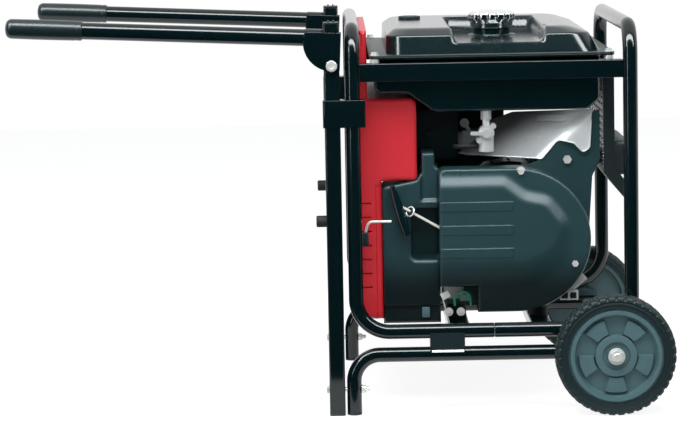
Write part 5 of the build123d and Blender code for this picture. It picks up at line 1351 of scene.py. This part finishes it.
def card(name, width, height, place_at, aim, finish_used):
    """A flat card that is seen in reflections only."""
    half = np.array([width / 2, height / 2])
    points = np.array([(-1, -1), (1, -1), (1, 1), (-1, 1)]) * half
    turn = (Vector(aim) - Vector(place_at)).to_track_quat("-Z", "Y").to_matrix()
    corners = [tuple(turn @ Vector((x, y, 0)) + Vector(place_at)) for x, y in points]
    mesh = bpy.data.meshes.new(name)
    mesh.from_pydata(corners, [], [(0, 1, 2, 3)])
    mesh.materials.append(finish_used)
    obj = new_object(name, mesh)
    obj.visible_camera = obj.visible_diffuse = obj.visible_shadow = obj.visible_transmission = False


def camera_like_rays(nodes, links):
    """1 for camera, mirrored and transmitted rays, and 0 for the rays that light the object."""
    ray = nodes.new("ShaderNodeLightPath")
    first, second = nodes.new("ShaderNodeMath"), nodes.new("ShaderNodeMath")
    first.operation = second.operation = "MAXIMUM"
    links.new(ray.outputs["Is Camera Ray"], first.inputs[0])
    links.new(ray.outputs["Is Glossy Ray"], first.inputs[1])
    links.new(first.outputs[0], second.inputs[0])
    links.new(ray.outputs["Is Transmission Ray"], second.inputs[1])
    return second.outputs[0]


def studio_world():
    """A soft grey surround, and plain white wherever a camera ray or a mirrored ray meets it."""
    world = bpy.data.worlds.new("Studio")
    bpy.context.scene.world = world
    nodes, links = cleared(world)
    out = nodes.new("ShaderNodeOutputWorld")
    strength = bpy.context.scene.generator_stage.surround
    soft = add_node(nodes, "ShaderNodeBackground", Color=(0.93, 0.98, 1.0, 1), Strength=strength)
    white = add_node(nodes, "ShaderNodeBackground", Color=(1, 1, 1, 1))
    mixed = nodes.new("ShaderNodeMixShader")
    links.new(camera_like_rays(nodes, links), mixed.inputs["Fac"])
    links.new(soft.outputs[0], mixed.inputs[1])
    links.new(white.outputs[0], mixed.inputs[2])
    links.new(mixed.outputs[0], out.inputs["Surface"])


def floor_finish():
    """White paper that gives out most of its light towards the camera, so only a shadow darkens it."""
    made = bpy.data.materials.new("floor_paper")
    nodes, links = cleared(made)
    out, mixed = nodes.new("ShaderNodeOutputMaterial"), nodes.new("ShaderNodeMixShader")
    paper = add_node(nodes, "ShaderNodeBsdfDiffuse", Color=(0.8, 0.8, 0.8, 1))
    seen = add_node(nodes, "ShaderNodeBsdfDiffuse", Color=(0.34, 0.34, 0.34, 1))
    strength = bpy.context.scene.generator_stage.floor_glow
    glow = add_node(nodes, "ShaderNodeEmission", Color=(1, 1, 1, 1), Strength=strength)
    both = nodes.new("ShaderNodeAddShader")
    links.new(seen.outputs[0], both.inputs[0])
    links.new(glow.outputs[0], both.inputs[1])
    links.new(camera_like_rays(nodes, links), mixed.inputs["Fac"])
    links.new(paper.outputs[0], mixed.inputs[1])
    links.new(both.outputs[0], mixed.inputs[2])
    links.new(mixed.outputs[0], out.inputs["Surface"])
    return made


def make_camera():
    """The camera, nearly level and a little turned, at its distance from the frame's side."""
    camera = new_object("Camera", bpy.data.cameras.new("Camera"))
    camera.data.lens, camera.data.sensor_width = 158.45, 36.0
    camera.location = (-0.01179, -5.9339, 1.0512)
    tilt, heading, roll = math.radians(90 - 6.69), math.radians(-0.08), math.radians(-1.07)
    level = Euler((tilt, 0, heading)).to_matrix()
    camera.rotation_euler = (level @ Matrix.Rotation(roll, 3, "Z")).to_euler()
    bpy.context.scene.camera = camera
    bpy.context.scene.view_settings.view_transform = "Standard"


def make_stage():
    """A pale floor, dark cards and bright strips that only reflections show, and soft lamps all round."""
    settings = bpy.context.scene.generator_stage
    studio_world()
    mesh = bpy.data.meshes.new("Floor")
    half, drop = 6, -0.0005
    square = [(-half, -half, drop), (half, -half, drop), (half, half, drop), (-half, half, drop)]
    mesh.from_pydata(square, [], [(0, 1, 2, 3)])
    mesh.materials.append(floor_finish())
    floor = new_object("Floor", mesh)
    dark = plain_emission("dark_card", (0.004, 0.009, 0.011), 1.0)
    bright = plain_emission("bright_card", (0.97, 1.0, 1.0), settings.highlight)
    card("CardFront", 13.0, 7.0, (0.0, -7.6, 3.0), (0.0, 0.0, 3.0), dark)
    card("CardLeft", 7.6, 7.0, (-6.0, -4.2, 3.0), (0.0, -4.2, 3.0), dark)
    card("CardRight", 7.6, 7.0, (6.0, -4.2, 3.0), (0.0, -4.2, 3.0), dark)
    card("CardTop", 12.0, 6.2, (0.0, -4.4, 4.6), (0.0, -4.4, 0.0), dark)
    card("CardFloor", 11.0, 6.85, (0.0, -3.875, 0.004), (0.0, -3.875, 3.0), dark)
    card("StripTop", 5.6, 0.8, (0.0, -1.7, 2.9), (0.1, -0.2, 0.5), bright)
    card("StripSide", 0.16, 2.0, (-2.3, -2.7, 1.2), (0.1, -0.3, 0.4), bright)
    card("StripLeftHigh", 0.5, 1.0, (-2.2, -1.9, 2.3), (0.0, -0.25, 0.7), bright)
    card("StripRightHigh", 0.5, 1.0, (2.7, -1.9, 2.3), (0.45, -0.25, 0.7), bright)
    lamp("TopSoft", (3.2, 1.6), (0.0, -1.9, 3.0), (0.1, 0.0, 0.4), settings.key_power)
    lamp("FrontFill", (2.4, 1.6), (0.4, -4.2, 1.9), (0.1, 0.0, 0.35), settings.front_power)
    lamp("SideFill", (1.2, 2.0), (-2.8, -1.6, 1.4), (0.0, 0.0, 0.4), settings.fill_power)
    lamp("RearFill", (2.5, 2.0), (2.6, 2.4, 2.4), (0.2, 0.0, 0.4), settings.fill_power)


# ---- Settings ----


def metres(name, text, default, **limits):
    """A size in metres."""
    return bpy.props.FloatProperty(name=name, description=text, default=default, unit="LENGTH", **limits)


def number(name, text, default, **limits):
    """A number without a unit of length; its text says what it is measured in."""
    return bpy.props.FloatProperty(name=name, description=text, default=default, **limits)


def count(name, text, default, **limits):
    """A count."""
    return bpy.props.IntProperty(name=name, description=text, default=default, **limits)


class FrameSettings(bpy.types.PropertyGroup):
    tube_diameter: metres("Tube diameter", "Outside diameter of the frame tubes", 0.028, min=0.01)
    hoop_bend: metres("Top bend", "Centreline radius of the hoops' top bends", 0.055, min=0.03)
    rail_bend: metres("Rail bend", "Centreline radius of the bends into the base rails", 0.064, min=0.03)
    leg_bend: metres("Leg bend", "Centreline radius of the leg tubes' bends", 0.05, min=0.03)


class WheelSettings(bpy.types.PropertyGroup):
    rim_diameter: metres("Rim diameter", "Outside diameter of the plastic rim", 0.18)
    tread_blocks: count("Tread blocks", "Shoulder blocks round one side of the tyre", 40, min=12)
    tread_depth: metres("Tread depth", "Depth of the tread grooves", 0.0035)
    spoke_count: count("Raised pads", "Raised pads on the wheel disc", 5, min=3)


class TankSettings(bpy.types.PropertyGroup):
    shoulder: number("Shoulder", "Height of the crown's shoulder, as a share", 0.73, min=0.3, max=0.95)
    edge_radius: metres("Shoulder edge", "How softly the shoulder turns", 0.009, min=0.001)
    well_floor: metres("Well floor", "Height of the sunken floor round the cap", 0.702)
    well_half: metres("Well half length", "Half the length of the sunken floor", 0.08)
    well_back: metres("Well back", "Where the sunken floor ends at the far side", 0.15)


class HandleSettings(bpy.types.PropertyGroup):
    tilt: number("Tilt", "How far the handles rise, in degrees", 2.8)
    offset: metres("Offset", "From the pivot up to the tube's line", 0.051)
    grip_length: metres("Grip", "Length of the soft grip", 0.145)
    bracket_radius: metres("Bracket", "Radius of the bracket's cheeks", 0.055)
    cheek: metres("Cheek", "Thickness of a bracket's cheek", 0.0035)


class PanelSettings(bpy.types.PropertyGroup):
    depth: metres("Depth", "Depth of the housing's lower part", 0.0612)
    strip: metres("Strip", "Depth of the strip beside the tank", 0.036)
    box_bottom: metres("Box bottom", "Lower edge of the deeper box", 0.4405)
    box_top: metres("Box top", "Upper edge of the deeper box", 0.598)
    rim: metres("Rim", "Depth of the rim round the panel face", 0.0125)
    edge: metres("Edge", "How softly the side faces turn in", 0.009)
    louvres: count("Louvres", "Slots up each side", 7, min=1)


class StageSettings(bpy.types.PropertyGroup):
    surround: number("Surround", "Strength of the soft light from all round", 0.3, min=0.0)
    floor_glow: number("Floor glow", "Light that the floor gives out to the camera", 0.86, min=0.0)
    highlight: number("Highlight strips", "Brightness of the strips seen in reflections", 16.0, min=0.0)
    key_power: number("Key lamp", "Power of the long lamp above, in watts", 105.0, min=0.0)
    fill_power: number("Side lamps", "Power of the side and rear lamps, in watts", 18.0, min=0.0)
    front_power: number("Front lamp", "Power of the soft lamp in front, in watts", 22.0, min=0.0)


# ---- Operators ----


class PieceOperator:
    """What the operators share: run make, which raises on failure."""

    bl_options = {"REGISTER", "UNDO"}

    def execute(self, context):
        self.make()
        return {"FINISHED"}


def operator(make, label, text):
    """An operator class that runs one making function and has its name, without make_."""
    name = make.__name__.removeprefix("make_")
    words = {"bl_idname": f"generator.{name}", "bl_label": label, "__doc__": text, "make": staticmethod(make)}
    return type(f"GENERATOR_OT_{name}", (PieceOperator, bpy.types.Operator), words)


OPERATORS = [
    operator(make_camera, "Camera", "Make the camera"),
    operator(make_fuel_hose, "Fuel hose", "Build the fuel hose"),
    operator(make_ground_wire, "Ground wire", "Build the green ground wire"),
    operator(make_recoil_rope, "Starter rope", "Build the recoil starter's rope"),
    operator(make_stage, "Stage", "Make the floor, cards and lamps"),
    operator(dress_frame, "Frame finishes", "Give every CAD node the finish of its slot"),
    operator(make_hoops, "Hoops", "Build the front and rear hoops"),
    operator(make_legs, "Leg tubes", "Build the two leg tubes"),
    operator(make_wheels, "Wheels", "Build the tyres and rims"),
    operator(make_tank_upper, "Tank top", "Build the tank's crown, well and neck"),
    operator(make_tank_lower, "Tank pan", "Build the tank's lower pan"),
    operator(make_fuel_cap, "Fuel cap", "Build the lobed fuel cap"),
    operator(make_fuel_gauge, "Fuel gauge", "Build the gauge's bezel and lens"),
    operator(make_shroud, "Shroud", "Build the starter's shroud"),
    operator(make_housing, "Blower housing", "Build the plate behind the shroud"),
    operator(make_heat_shield, "Heat shield", "Build the bright sheet"),
    operator(make_lower_cover, "Lower cover", "Build the cover with the rope's pocket"),
    operator(make_rope_guide, "Rope guide", "Build the starter rope's eye and hook"),
    operator(make_tank_rails, "Tank rails", "Build the two angle rails under the tank"),
    operator(make_panel_housing, "Panel housing", "Build the red housing and its rim"),
    operator(make_bead_rows, "Guard beads", "Build the pressed beads of the muffler's guard"),
    operator(make_wiring, "Wiring", "Build the connectors and lugs at the engine's foot"),
    operator(make_handles, "Handles", "Build the tubes, grips and brackets"),
    operator(make_posts, "Posts", "Build the posts, caps and clamps"),
    operator(make_fasteners, "Fasteners", "Build the bolts, nuts and washers"),
]


class GENERATOR_PT_pieces(bpy.types.Panel):
    """The list of pieces in the sidebar."""

    bl_label = "Portable generator"
    bl_space_type = "VIEW_3D"
    bl_region_type = "UI"
    bl_category = "Generator"

    def draw(self, context):
        for made in OPERATORS:
            self.layout.operator(made.bl_idname)
        for group in [getattr(context.scene, name) for name in SETTINGS]:
            for prop in group.bl_rna.properties.keys():
                if prop not in ("name", "rna_type"):
                    self.layout.prop(group, prop)


SETTINGS = {
    "generator_frame": FrameSettings, "generator_wheel": WheelSettings, "generator_tank": TankSettings,
    "generator_handle": HandleSettings, "generator_panel": PanelSettings, "generator_stage": StageSettings,
}


def register():
    for name, group in SETTINGS.items():
        bpy.utils.register_class(group)
        setattr(bpy.types.Scene, name, bpy.props.PointerProperty(type=group))
    for made in OPERATORS:
        bpy.utils.register_class(made)
    bpy.utils.register_class(GENERATOR_PT_pieces)


def unregister():
    bpy.utils.unregister_class(GENERATOR_PT_pieces)
    for made in reversed(OPERATORS):
        bpy.utils.unregister_class(made)
    for name, group in reversed(SETTINGS.items()):
        delattr(bpy.types.Scene, name)
        bpy.utils.unregister_class(group)


def main():
    register()
    for made in OPERATORS:
        getattr(bpy.ops.generator, made.bl_idname.split(".")[1])()


if __name__ == "__main__":
    main()
